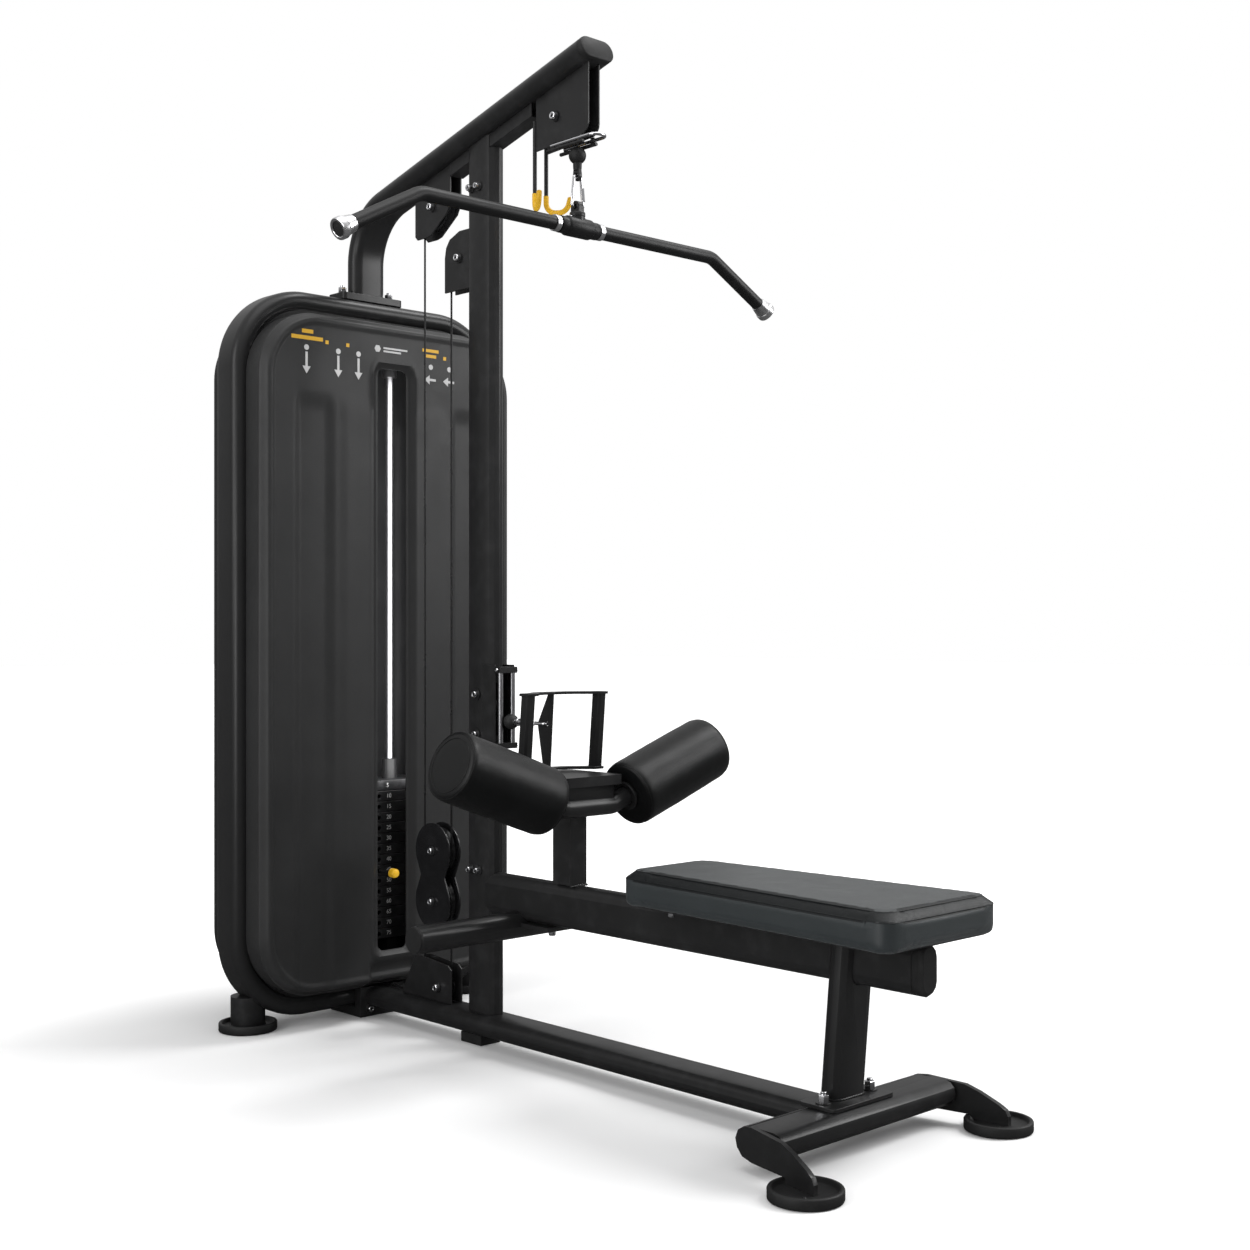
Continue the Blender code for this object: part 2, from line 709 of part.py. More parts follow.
def roller(name, side):
    ax = (side * KNEE_AXIS[0], 0, KNEE_AXIS[2])
    c = arm_at(ROLL_IN, side)
    L = ROLL_LEN

    def body(bm):
        add_turned(bm, [(0, L), (0.066, L), (0.0735, L - 0.004), (0.0765, L - 0.012), (0.0765, 0.012),
                        (0.0735, 0.004), (0.066, 0.0), (0.0235, 0.0), (0.0235, 0.268), (0, 0.268)],
                   c, ax, 28, closed=False)
    simple(name, "foam", body, origin=c)


roller("knee_roller_left", -1)
roller("knee_roller_right", 1)

# ---------------------------------------------------------------- foot brace

BRACE_Y, BRACE_Z, BRACE_R = 1.100, 0.303, 0.031
brace = simple("foot_brace", "steel", lambda bm: add_turned(
    bm, [(0, -0.316), (0.026, -0.316), (BRACE_R, -0.311), (BRACE_R, 0.311), (0.026, 0.316), (0, 0.316)],
    (0, BRACE_Y, BRACE_Z), "X", 24, closed=False))
union(brace, lambda bm: add_box(bm, -0.034, 0.034, 0.975, 1.125, 0.301, 0.3107))
cut(brace, lambda bm: add_rings(bm, sweep_rings(
    [(0, 0.90, (RAIL_Z0 + RAIL_Z1) / 2), (0, 1.30, (RAIL_Z0 + RAIL_Z1) / 2)],
    flat_oval(RAIL_Z1 - RAIL_Z0 + 2 * GAP, TUBE_S + 2 * GAP), (0, 0, 1))))

# ---------------------------------------------------------------- pulleys


def pulley(name, yz, pitch, ro, w, groove=0.0045):
    rg = pitch - groove
    prof = [(PIN_R + 0.0006, -w), (ro, -w), (ro, -w + 0.003), (rg, -0.0036), (rg, 0.0036),
            (ro, w - 0.003), (ro, w), (PIN_R + 0.0006, w)]
    c = (0.0, yz[0], yz[1])
    simple(name, "nylon", lambda bm: add_turned(bm, prof, c, "X", 20), origin=c)


pulley("pulley_front", FRONT_P, P_R, P_RO, P_W)
pulley("pulley_rear", REAR_P, P_R, P_RO, P_W)
pulley("pulley_upright", UP_P, P_R, P_RO, P_W)
pulley("pulley_float_upper", FLOAT_HI, P_R, P_RO, P_W)
pulley("pulley_float_lower", FLOAT_LO, P_R, P_RO, P_W)
pulley("pulley_row", ROW_P, ROW_R, ROW_RO, 0.008, 0.0038)
pulley("pulley_base", BASE_P, S_R, S_RO, S_W, 0.0038)
pulley("pulley_tower_base", TBASE_P, S_R, S_RO, S_W, 0.0038)
pulley("pulley_tower_top", TTOP_P, TTOP_R, TTOP_RO, S_W, 0.0038)

# ---------------------------------------------------------------- weight stack

for nm, sgn in (("stack_guide_rod_left", -1), ("stack_guide_rod_right", 1)):
    simple(nm, "chrome", lambda bm, s=sgn: add_turned(
        bm, [(0, TW_Z0 + TUBE_S + GAP), (ROD_R, TW_Z0 + TUBE_S + GAP),
             (ROD_R, TW_Z1 - TUBE_S - GAP), (0, TW_Z1 - TUBE_S - GAP)],
        (s * ROD_X, TW_Y, 0), "Z", 16, closed=False))


def bumper(s):
    return lambda bm: add_turned(bm, [(ROD_R + 0.0008, 0.0757), (0.030, 0.0757), (0.030, 0.180),
                                      (0.026, ST_Z0 - GAP), (ROD_R + 0.0008, ST_Z0 - GAP)],
                                 (s * ROD_X, TW_Y, 0), "Z", 16)


bump = simple("stack_bumpers", "rubber", bumper(-1))
union(bump, lambda bm: add_box(bm, -0.060, 0.060, 1.705, 1.745, 0.0870, 0.0960))
union(bump, bumper(1))


def stack_rings(z0, count):
    """Outline rings of a pile of plates with a fine groove between neighbours."""
    rings = []
    g = 0.0015

    def rect(z, i):
        return [(ST_HALF - i, ST_Y0 + i, z), (ST_HALF - i, ST_Y1 - i, z),
                (-ST_HALF + i, ST_Y1 - i, z), (-ST_HALF + i, ST_Y0 + i, z)]
    for k in range(count):
        z = z0 + k * ST_PITCH
        rings += [rect(z, 0.0), rect(z + ST_T, 0.0)]
        if k < count - 1:
            rings += [rect(z + ST_T, 0.004), rect(z + ST_PITCH, 0.004)]
    return rings


def bores(ob, z0, z1, centre=True):
    for x, r in ((-ROD_X, 0.0115), (ROD_X, 0.0115)) + (((0.0, 0.0135),) if centre else ()):
        cut(ob, lambda bm, x=x, r=r: add_turned(bm, [(0, z0 - 0.02), (r, z0 - 0.02), (r, z1 + 0.02), (0, z1 + 0.02)],
                                               (x, TW_Y, 0), "Z", 16, closed=False))


def stack_block(name, first, count):
    z0 = ST_Z0 + first * ST_PITCH
    ob = simple(name, "iron", lambda bm: add_rings(bm, stack_rings(z0, count)))
    bores(ob, z0, z0 + count * ST_PITCH)
    return ob


stack_block("weight_plates_resting", 0, N_REST)
lifted = stack_block("weight_plates_lifted", N_REST, N_LIFT)
cut(lifted, lambda bm: add_turned(bm, [(0, 1.60), (0.0056, 1.60), (0.0056, 1.735), (0, 1.735)],
                                  (0, 0, SEL_Z), "Y", 12, closed=False))

TOP_Z0 = ST_Z0 + (N_REST + N_LIFT) * ST_PITCH
TOP_Z1 = TOP_Z0 + ST_T
top = simple("weight_top_plate", "iron", lambda bm: add_box(
    bm, -ST_HALF, ST_HALF, ST_Y0, ST_Y1, TOP_Z0, TOP_Z1))
for sgn in (-1, 1):
    union(top, lambda bm, s=sgn: add_turned(bm, [(0, TOP_Z1 - 0.004), (0.0195, TOP_Z1 - 0.004),
                                                 (0.0195, 0.648), (0, 0.648)],
                                            (s * ROD_X, TW_Y, 0), "Z", 16, closed=False))
bores(top, TOP_Z0, 0.66, centre=False)
union(top, lambda bm: add_turned(bm, [(0, 0.198), (0.011, 0.198), (0.011, TOP_Z0 + 0.004),
                                      (0.011, TOP_Z1 - 0.004), (0.014, TOP_Z1 - 0.004), (0.014, 0.625),
                                      (0.008, 0.632), (0.008, 0.652), (0, 0.652)],
                                 (0, TW_Y, 0), "Z", 16, closed=False))
cut(top, lambda bm: add_turned(bm, [(0, 1.70), (0.0056, 1.70), (0.0056, 1.77), (0, 1.77)],
                               (0, 0, SEL_Z), "Y", 12, closed=False))

simple("selector_pin", "yellow", lambda bm: add_turned(
    bm, [(0, 1.600), (0.009, 1.600), (0.0115, 1.603), (0.0115, 1.618), (0.0125, 1.6185),
         (0.0125, 1.624), (0.0045, 1.6245), (0.0045, 1.7465), (0, 1.7465)],
    (0, 0, SEL_Z), "Y", 16, closed=False), origin=(0, 1.612, SEL_Z))

# ---------------------------------------------------------------- lat bar

BALL_Z = 2.050


def lat_bar(bm):
    end = Vector((0.640, 0, 1.779))
    d = (end - Vector((0.436, 0, BAR_Z))).normalized()

    def side(s):
        e = end
        pts = [e - d * 0.038, e - d * 0.0375, e - d * 0.012, e - d * 0.006, e]
        return [(s * p.x, BAR_Y, p.z) for p in pts]
    mid = fillet([side(-1)[0], (-0.436, BAR_Y, BAR_Z), (0.436, BAR_Y, BAR_Z), side(1)[0]], 0.055, 5)
    path = list(reversed(side(-1)[1:])) + mid + side(1)[1:]
    k = [1.22, 1.5, 1.42, 1.12]
    sc = list(k) + [1.0] * len(mid) + list(reversed(k))
    add_rings(bm, sweep_rings(path, circle(0.0157, 14), (0, 1, 0), sc))


simple("lat_bar", "steel", lat_bar, origin=(0, BAR_Y, BAR_Z))

swivel = simple("bar_swivel", "steel", lambda bm: add_turned(
    bm, [(0.0163, -0.058), (0.0185, -0.058), (0.0185, -0.036), (0.0225, -0.034), (0.0225, 0.034),
         (0.0185, 0.036), (0.0185, 0.058), (0.0163, 0.058)], (0, BAR_Y, BAR_Z), "X", 18),
    origin=(0, BAR_Y, 1.934))
union(swivel, lambda bm: add_prism(bm, [(BAR_Y - 0.017, BAR_Z + 0.0175), (BAR_Y + 0.017, BAR_Z + 0.0175),
                                        (BAR_Y + 0.019, 1.914), (BAR_Y + 0.019, 1.922),
                                        (BAR_Y - 0.019, 1.922), (BAR_Y - 0.019, 1.914)],
                                   -0.0165, 0.0165, "X"))
union(swivel, lambda bm: add_prism(bm, [(BAR_Y - 0.014, 1.920), (BAR_Y + 0.014, 1.920),
                                        (BAR_Y + 0.014, 1.938), (BAR_Y + 0.008, 1.947),
                                        (BAR_Y - 0.008, 1.947), (BAR_Y - 0.014, 1.938)],
                                   -0.0080, 0.0080, "X"))
cut(swivel, lambda bm: add_turned(bm, [(0, -0.03), (0.0060, -0.03), (0.0060, 0.03), (0, 0.03)],
                                  (0, BAR_Y, 1.934), "X", 12, closed=False))


def bail(bm):
    path = fillet([(0.0, BAR_Y, 1.934), (-0.0175, BAR_Y, 1.934), (-0.0098, BAR_Y, 2.0040),
                   (0.0098, BAR_Y, 2.0040), (0.0175, BAR_Y, 1.934), (0.0, BAR_Y, 1.934)],
                  0.0040, 4)[:-1]
    add_rings(bm, sweep_rings(path, circle(0.0033, 8), (0, 1, 0), closed=True), "loop")


simple("bail_link", "chrome", bail, origin=(0, BAR_Y, 2.004))

ball = simple("cable_ball", "rubber", lambda bm: add_turned(
    bm, [(0, BALL_Z + 0.0197)] + [(0.0197 * math.sin(math.radians(a)), BALL_Z + 0.0197 * math.cos(math.radians(a)))
                                  for a in range(20, 160, 20)]
    + [(0.0100, BALL_Z - 0.0180), (0.0100, 2.016), (0, 2.016)],
    (0, BAR_Y, 0), "Z", 18, closed=False), origin=(0, BAR_Y, BALL_Z))
union(ball, lambda bm: add_prism(bm, [(BAR_Y - 0.009, 2.020), (BAR_Y - 0.011, 2.004), (BAR_Y - 0.006, 1.993),
                                      (BAR_Y + 0.006, 1.993), (BAR_Y + 0.011, 2.004), (BAR_Y + 0.009, 2.020)],
                                 -0.0045, 0.0045, "X"))
cut(ball, lambda bm: add_turned(bm, [(0, -0.02), (0.0062, -0.02), (0.0062, 0.02), (0, 0.02)],
                                (0, BAR_Y, 2.0040), "X", 12, closed=False))

# ---------------------------------------------------------------- row handle

RB = (0.0, 1.1460, 0.770)
LINK_Y = 1.0165

row_ball = simple("row_ball", "rubber", lambda bm: add_turned(
    bm, [(0, 0.018)] + [(0.018 * math.sin(math.radians(a)), 0.018 * math.cos(math.radians(a)))
                        for a in range(20, 160, 20)]
    + [(0.009, -0.0165), (0.009, -0.030), (0, -0.030)],
    RB, "Y", 18, closed=False), origin=RB)


def link(bm):
    path = fillet([(0.0, LINK_Y, RB[2]), (0.009, LINK_Y, RB[2]), (0.009, 1.1220, RB[2]),
                   (-0.009, 1.1220, RB[2]), (-0.009, LINK_Y, RB[2]), (0.0, LINK_Y, RB[2])], 0.0075, 4)[:-1]
    add_rings(bm, sweep_rings(path, circle(0.0034, 8), (0, 0, 1), closed=True), "loop")


union(row_ball, link)

H_Z0, H_Z1 = 0.6645, 0.8440
H_X, H_YC, H_YG = 0.107, 1.0120, 0.9650
LEAN = 0.085                     # the handle leans: its foot lies further from the bench


def lean(z):
    return -(z - (H_Z0 + H_Z1) / 2) * LEAN


def vee(z0, z1):
    """Flat bar that joins the grips, bowed away from the user in plan."""
    half = [(-H_X - 0.0142, H_YG - 0.0150), (-H_X - 0.0142, H_YG + 0.0150), (-H_X - 0.008, H_YG + 0.0185),
            (-H_X + 0.010, H_YG + 0.0205), (-0.050, H_YC + 0.0060), (0.0, H_YC + 0.0130)]
    back = [(-0.0, H_YC - 0.0130), (-0.050, H_YC - 0.0210), (-H_X + 0.0145, H_YG - 0.0165)]
    outline = (half + [(-x, y) for x, y in reversed(half[:-1])]
               + [(-x, y) for x, y in reversed(back[1:])] + back)

    def ring(z):
        return [(x, y + lean(z), z) for x, y in outline]
    return lambda bm: add_rings(bm, [ring(z0), ring(z1)])


handle = simple("row_handle", "steel", vee(H_Z0, H_Z0 + 0.006), origin=(0, LINK_Y, RB[2]))


def grip(s):
    def body(bm):
        prof = [(-0.0120, -0.0095), (-0.0070, -0.0142), (0.0070, -0.0142), (0.0120, -0.0095),
                (0.0120, 0.0095), (0.0070, 0.0142), (-0.0070, 0.0142), (-0.0120, 0.0095)]
        rings = []
        for z in (H_Z0 + 0.003, H_Z1 - 0.003):
            rings.append([(s * H_X + a, H_YG + lean(z) + b, z) for a, b in prof])
        add_rings(bm, rings)
    return body


union(handle, grip(-1))
union(handle, grip(1))
union(handle, lambda bm: add_prism(bm, [(1.0080, H_Z0 + 0.003), (1.0285, H_Z0 + 0.003), (1.0480, 0.770),
                                        (1.0100, H_Z1 - 0.003), (0.9960, H_Z1 - 0.003), (1.0010, 0.770)],
                                   -0.0030, 0.0030, "X"))
union(handle, vee(H_Z1 - 0.006, H_Z1))
cut(handle, lambda bm: add_turned(bm, [(0, -0.02), (0.0058, -0.02), (0.0058, 0.02), (0, 0.02)],
                                  (0, LINK_Y, RB[2]), "X", 12, closed=False))

# ---------------------------------------------------------------- cables


UPW, DOWN = (0, 0, 1), (0, 0, -1)


def cable(name, path, start=UPW, end=DOWN, origin=(0.0, Y0, 0.0), r=CABLE_R):
    simple(name, "cable", lambda bm: add_rings(bm, sweep_rings(path, circle(r, 8), (1, 0, 0),
                                                              ends=(start, end))), origin=origin)


def deg(dy, dz):
    return math.degrees(math.atan2(dz, dy))


# the run under the boom goes round the front and the rear pulley
run = Vector((REAR_P[0] - FRONT_P[0], REAR_P[1] - FRONT_P[1])).normalized()
run_up = deg(-run.y, run.x)
cable("cable_boom_run",
      arc(*FRONT_P, P_R, 180, run_up, 8) + arc(*REAR_P, P_R, run_up, 0, 8))
cable("cable_lat_drop", [(0, BAR_Y, FRONT_P[1] - GAP), (0, BAR_Y, BALL_Z + 0.0200)], DOWN, DOWN)
# up from the floating block, over the upright pulley, down inside, out at the row pulley
cable("cable_upright_run",
      arc(*UP_P, P_R, 0, 180, 10) + arc(*ROW_P, ROW_R, 0, -90, 5) + [(0, RB[1] + 0.0183, RB[2])],
      end=(0, -1, 0))
# the loop that carries the floating block
cable("cable_upper_loop",
      [(0, FLOAT_HI[0] + P_R, REAR_P[1] - GAP)] + arc(*FLOAT_HI, P_R, 0, -180, 10)
      + [(0, FLOAT_HI[0] - P_R, UP_P[1] - GAP)], DOWN, UPW)
# the loop over the lower floating pulley, anchored in the bottom bracket
cable("cable_lower_loop",
      [(0, FLOAT_LO[0] + P_R, 0.1603)] + arc(*FLOAT_LO, P_R, 0, 180, 10)
      + [(0, FLOAT_LO[0] - P_R, BASE_P[1] + GAP)])
cable("cable_tower_run",
      arc(*BASE_P, S_R, 180, 270, 5) + arc(*TBASE_P, S_R, -90, 0, 5)
      + arc(*TTOP_P, TTOP_R, 0, 180, 8), DOWN, DOWN)
cable("cable_stack", [(0, TW_Y, 0.6523), (0, TW_Y, TTOP_P[1] - GAP)], UPW, UPW)
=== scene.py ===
"""Looks for the lat pulldown machine: detailed pieces, materials, floor, light and camera."""
import json
import math
import random

import bmesh
import bpy
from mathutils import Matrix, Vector, noise
from mathutils.bvhtree import BVHTree

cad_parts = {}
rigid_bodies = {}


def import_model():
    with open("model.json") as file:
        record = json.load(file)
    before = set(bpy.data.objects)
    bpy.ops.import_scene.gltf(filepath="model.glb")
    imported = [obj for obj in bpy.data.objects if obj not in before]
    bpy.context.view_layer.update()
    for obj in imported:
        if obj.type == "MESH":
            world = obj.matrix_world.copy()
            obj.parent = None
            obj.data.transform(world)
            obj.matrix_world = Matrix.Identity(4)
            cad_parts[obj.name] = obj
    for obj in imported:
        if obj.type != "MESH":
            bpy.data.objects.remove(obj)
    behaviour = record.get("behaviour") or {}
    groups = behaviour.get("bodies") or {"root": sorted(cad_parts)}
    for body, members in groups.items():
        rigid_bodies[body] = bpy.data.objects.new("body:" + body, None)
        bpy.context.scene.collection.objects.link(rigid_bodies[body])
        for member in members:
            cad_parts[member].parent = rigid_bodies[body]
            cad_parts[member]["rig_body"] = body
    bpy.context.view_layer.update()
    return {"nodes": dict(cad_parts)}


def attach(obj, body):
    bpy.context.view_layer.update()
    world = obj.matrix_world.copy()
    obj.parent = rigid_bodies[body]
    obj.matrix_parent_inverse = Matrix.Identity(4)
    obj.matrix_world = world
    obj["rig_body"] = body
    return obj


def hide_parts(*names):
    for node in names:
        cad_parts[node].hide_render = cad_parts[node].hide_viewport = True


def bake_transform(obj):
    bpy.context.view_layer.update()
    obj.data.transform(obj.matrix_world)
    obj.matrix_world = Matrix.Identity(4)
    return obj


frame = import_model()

Y0 = 0.889            # bench datum to the origin, as in the CAD
NODES = frame["nodes"]
BODY_OF = {n: o["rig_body"] for n, o in NODES.items()}

# ------------------------------------------------------------------ materials


def new_mat(name):
    m = bpy.data.materials.new(name)
    m.use_nodes = True
    nt = m.node_tree
    return m, nt, nt.nodes["Principled BSDF"]


def coords(nt):
    return nt.nodes.new("ShaderNodeTexCoord").outputs["Object"]


def noise_node(nt, scale, detail=3.0, rough=0.6, vec=None):
    n = nt.nodes.new("ShaderNodeTexNoise")
    n.inputs["Scale"].default_value = scale
    n.inputs["Detail"].default_value = detail
    n.inputs["Roughness"].default_value = rough
    nt.links.new(vec or coords(nt), n.inputs["Vector"])
    return n


def ramp(nt, src, stops):
    r = nt.nodes.new("ShaderNodeValToRGB")
    els = r.color_ramp.elements
    while len(els) < len(stops):
        els.new(0.5)
    for e, (p, c) in zip(els, stops):
        e.position = p
        e.color = (c, c, c, 1.0) if isinstance(c, float) else (*c, 1.0)
    nt.links.new(src, r.inputs["Fac"])
    return r.outputs["Color"]


def bump(nt, bsdf, heights, distance=0.001):
    """Chain of (socket, strength) bumps into the shader's normal."""
    prev = None
    for sock, strength in heights:
        b = nt.nodes.new("ShaderNodeBump")
        b.inputs["Strength"].default_value = strength
        b.inputs["Distance"].default_value = distance
        nt.links.new(sock, b.inputs["Height"])
        if prev:
            nt.links.new(prev, b.inputs["Normal"])
        prev = b.outputs["Normal"]
    nt.links.new(prev, bsdf.inputs["Normal"])


def mix_rgb(nt, fac, a, b):
    m = nt.nodes.new("ShaderNodeMix")
    m.data_type = "RGBA"
    for key, val in (("Factor", fac), ("A", a), ("B", b)):
        sock = [s for s in m.inputs if s.name == key and s.enabled][0] if key == "Factor" else \
            [s for s in m.inputs if s.name == key and s.type == "RGBA"][0]
        if isinstance(val, (tuple, list)):
            sock.default_value = (*val, 1.0)
        elif isinstance(val, float):
            sock.default_value = val
        else:
            nt.links.new(val, sock)
    return [s for s in m.outputs if s.type == "RGBA"][0]


def coated(name, dark, light, rough=(0.30, 0.42), grain=950.0, grain_amt=0.12, peel=140.0,
           peel_amt=0.06, wear=0.25, wear_col=(0.10, 0.10, 0.105), metallic=0.0, coat=0.0, spec=0.28):
    """Coated or moulded surface: fine grain, soft mottling, rubbed edges."""
    m, nt, b = new_mat(name)
    fine = noise_node(nt, grain, 2.0)
    soft = noise_node(nt, 6.0, 4.0)
    col = mix_rgb(nt, ramp(nt, soft.outputs["Fac"], [(0.35, 0.0), (0.65, 1.0)]), dark, light)
    speck = ramp(nt, fine.outputs["Fac"], [(0.60, 0.0), (0.72, 1.0)])
    col = mix_rgb(nt, speck, col, tuple(min(1.0, c * 1.5) for c in light))
    if wear > 0:
        geo = nt.nodes.new("ShaderNodeNewGeometry")
        edge = ramp(nt, geo.outputs["Pointiness"], [(0.515, 0.0), (0.60, 1.0)])
        patch = ramp(nt, noise_node(nt, 28.0, 5.0).outputs["Fac"], [(0.48, 0.0), (0.66, 1.0)])
        mul = nt.nodes.new("ShaderNodeMath")
        mul.operation = "MULTIPLY"
        nt.links.new(edge, mul.inputs[0])
        nt.links.new(patch, mul.inputs[1])
        mul2 = nt.nodes.new("ShaderNodeMath")
        mul2.operation = "MULTIPLY"
        mul2.inputs[1].default_value = wear
        nt.links.new(mul.outputs[0], mul2.inputs[0])
        col = mix_rgb(nt, mul2.outputs[0], col, wear_col)
    nt.links.new(col, b.inputs["Base Color"])
    rr = ramp(nt, noise_node(nt, 11.0, 4.0).outputs["Fac"], [(0.3, rough[0]), (0.7, rough[1])])
    nt.links.new(rr, b.inputs["Roughness"])
    b.inputs["Metallic"].default_value = metallic
    b.inputs["Coat Weight"].default_value = coat
    b.inputs["Coat Roughness"].default_value = 0.15
    b.inputs["Specular IOR Level"].default_value = spec
    bump(nt, b, [(noise_node(nt, peel, 2.0).outputs["Fac"], peel_amt), (fine.outputs["Fac"], grain_amt)])
    return m


def vinyl(name, dark, light, rough=(0.34, 0.44), scale=620.0, amt=0.22, sheen=0.15, spec=0.42):
    m, nt, b = new_mat(name)
    vec = coords(nt)
    vor = nt.nodes.new("ShaderNodeTexVoronoi")
    vor.feature = "DISTANCE_TO_EDGE"
    vor.inputs["Scale"].default_value = scale
    warp = noise_node(nt, scale * 0.35, 2.0, vec=vec)
    add = nt.nodes.new("ShaderNodeMix")
    add.data_type = "VECTOR"
    add.inputs["Factor"].default_value = 0.004
    va = [s for s in add.inputs if s.type == "VECTOR"]
    nt.links.new(vec, va[0])
    nt.links.new(warp.outputs["Color"], va[1])
    nt.links.new([s for s in add.outputs if s.type == "VECTOR"][0], vor.inputs["Vector"])
    cell = ramp(nt, vor.outputs["Distance"], [(0.0, 0.0), (0.12, 1.0)])
    soft = noise_node(nt, 9.0, 4.0)
    col = mix_rgb(nt, ramp(nt, soft.outputs["Fac"], [(0.35, 0.0), (0.65, 1.0)]), dark, light)
    col = mix_rgb(nt, cell, tuple(c * 0.55 for c in dark), col)
    nt.links.new(col, b.inputs["Base Color"])
    nt.links.new(ramp(nt, noise_node(nt, 14.0, 4.0).outputs["Fac"], [(0.3, rough[0]), (0.7, rough[1])]),
                 b.inputs["Roughness"])
    b.inputs["Specular IOR Level"].default_value = spec
    b.inputs["Sheen Weight"].default_value = sheen
    b.inputs["Sheen Roughness"].default_value = 0.4
    bump(nt, b, [(noise_node(nt, 90.0, 3.0).outputs["Fac"], 0.05), (cell, amt)], 0.0004)
    return m


def chrome(name, col=(0.80, 0.80, 0.82), rough=(0.07, 0.16)):
    m, nt, b = new_mat(name)
    b.inputs["Metallic"].default_value = 1.0
    fine = noise_node(nt, 260.0, 4.0)
    nt.links.new(mix_rgb(nt, ramp(nt, noise_node(nt, 22.0, 3.0).outputs["Fac"], [(0.35, 0.0), (0.7, 1.0)]),
                         tuple(c * 0.90 for c in col), col), b.inputs["Base Color"])
    nt.links.new(ramp(nt, fine.outputs["Fac"], [(0.35, rough[0]), (0.7, rough[1])]), b.inputs["Roughness"])
    bump(nt, b, [(fine.outputs["Fac"], 0.02)], 0.0003)
    return m


STEEL = coated("steel_black", (0.0112, 0.0112, 0.0115), (0.0132, 0.0132, 0.0135), (0.30, 0.36), grain_amt=0.05, peel_amt=0.015, wear=0.10)
# Darker, rougher steel for the strips in the gap between tower tube and covers: painted shade.
GAP_SHADE_STEEL = coated("steel_gap_shade", (0.0060, 0.0060, 0.0063), (0.0090, 0.0090, 0.0093), (0.50, 0.62), wear=0.0)
COVER = coated("cover_plastic", (0.0185, 0.0186, 0.0189), (0.0225, 0.0226, 0.0229), (0.40, 0.50),
               grain=620.0, grain_amt=0.30, peel=90.0, peel_amt=0.05, wear=0.10,
               wear_col=(0.07, 0.07, 0.072))
# Same plastic as the front cover, darker on the rear shroud: painted shade on the side away from the lamps.
COVER_B = coated("cover_plastic_rear_shaded", (0.0095, 0.0096, 0.0100), (0.0125, 0.0126, 0.0131), (0.42, 0.52),
                 grain=620.0, grain_amt=0.30, peel=90.0, peel_amt=0.05, wear=0.10,
                 wear_col=(0.07, 0.07, 0.072))
RUBBER = coated("rubber_black", (0.0080, 0.0080, 0.0082), (0.0130, 0.0130, 0.0132), (0.48, 0.62),
                grain=520.0, grain_amt=0.25, wear=0.15, wear_col=(0.05, 0.05, 0.05))
NYLON = coated("nylon_black", (0.0060, 0.0060, 0.0064), (0.0090, 0.0090, 0.0096), (0.14, 0.24),
               grain_amt=0.03, peel_amt=0.02, wear=0.10)
IRON = coated("plate_iron", (0.0075, 0.0075, 0.0080), (0.0120, 0.0120, 0.0125), (0.34, 0.50),
              grain=380.0, grain_amt=0.35, wear=0.30)
CABLE = coated("cable_coat", (0.0045, 0.0045, 0.0048), (0.0070, 0.0070, 0.0074), (0.22, 0.34),
               grain=1500.0, grain_amt=0.10, wear=0.0)
YELLOW = coated("coat_yellow", (0.60, 0.33, 0.012), (0.74, 0.43, 0.022), (0.30, 0.42), grain_amt=0.10,
                wear=0.30, wear_col=(0.30, 0.16, 0.01))
# Seat vinyl: its own dark grey plus a bluish, lighter tint that is painted sky reflection.
SEAT = vinyl("seat_vinyl", (0.0225, 0.0275, 0.0295), (0.0255, 0.0310, 0.0332), (0.30, 0.38), sheen=0.10)
# Darker copy of the seat vinyl: painted shade on the seat's slanted edge faces, and the colour of the seam piping.
SEAT_SEAM_AND_SHADE = vinyl("seat_vinyl_seam_and_painted_shade", (0.0085, 0.0098, 0.0105), (0.0100, 0.0115, 0.0122), (0.34, 0.42), sheen=0.02, spec=0.22)
ROLL = vinyl("roller_vinyl", (0.0036, 0.0038, 0.0040), (0.0050, 0.0052, 0.0054), (0.33, 0.42),
             scale=700.0, amt=0.16, sheen=0.02, spec=0.22)
CHROME = chrome("chrome_bright")
ROD_D = chrome("rod_steel", (0.34, 0.34, 0.35), (0.30, 0.40))
SATIN = chrome("chrome_satin", (0.74, 0.74, 0.75), (0.24, 0.34))
BARC = coated("bar_black", (0.0045, 0.0045, 0.0047), (0.0058, 0.0058, 0.0060), (0.42, 0.50), grain_amt=0.04, peel_amt=0.01, wear=0.06)
ZINC = chrome("zinc_plate", (0.62, 0.62, 0.64), (0.16, 0.30))
PRINT_W = coated("print_white", (0.42, 0.42, 0.42), (0.50, 0.50, 0.50), (0.4, 0.5), wear=0.0, peel_amt=0.01)
PRINT_Y = coated("print_yellow", (0.52, 0.29, 0.02), (0.62, 0.36, 0.03), (0.4, 0.5), wear=0.0, peel_amt=0.01)
# Near-black paint for the inside of holes and sockets: painted shade.
HOLE_SHADE = coated("painted_hole_shade", (0.0020, 0.0020, 0.0020), (0.0030, 0.0030, 0.0030), (0.6, 0.8), wear=0.0)

# ------------------------------------------------------------------ mesh tools


def finish_piece(name, bm, mat, body, angle=35.0, smooth=True, merge=True):
    if merge:
        bmesh.ops.remove_doubles(bm, verts=bm.verts, dist=1e-6)
    bmesh.ops.recalc_face_normals(bm, faces=bm.faces)
    for v in bm.verts:
        v.co.y -= Y0
    me = bpy.data.meshes.new(name)
    bm.to_mesh(me)
    bm.free()
    if smooth:
        me.shade_smooth()
        me.set_sharp_from_angle(angle=math.radians(angle))
    me.materials.append(mat)
    ob = bpy.data.objects.new(name, me)
    bpy.context.scene.collection.objects.link(ob)
    if body:
        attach(ob, body)
    return ob


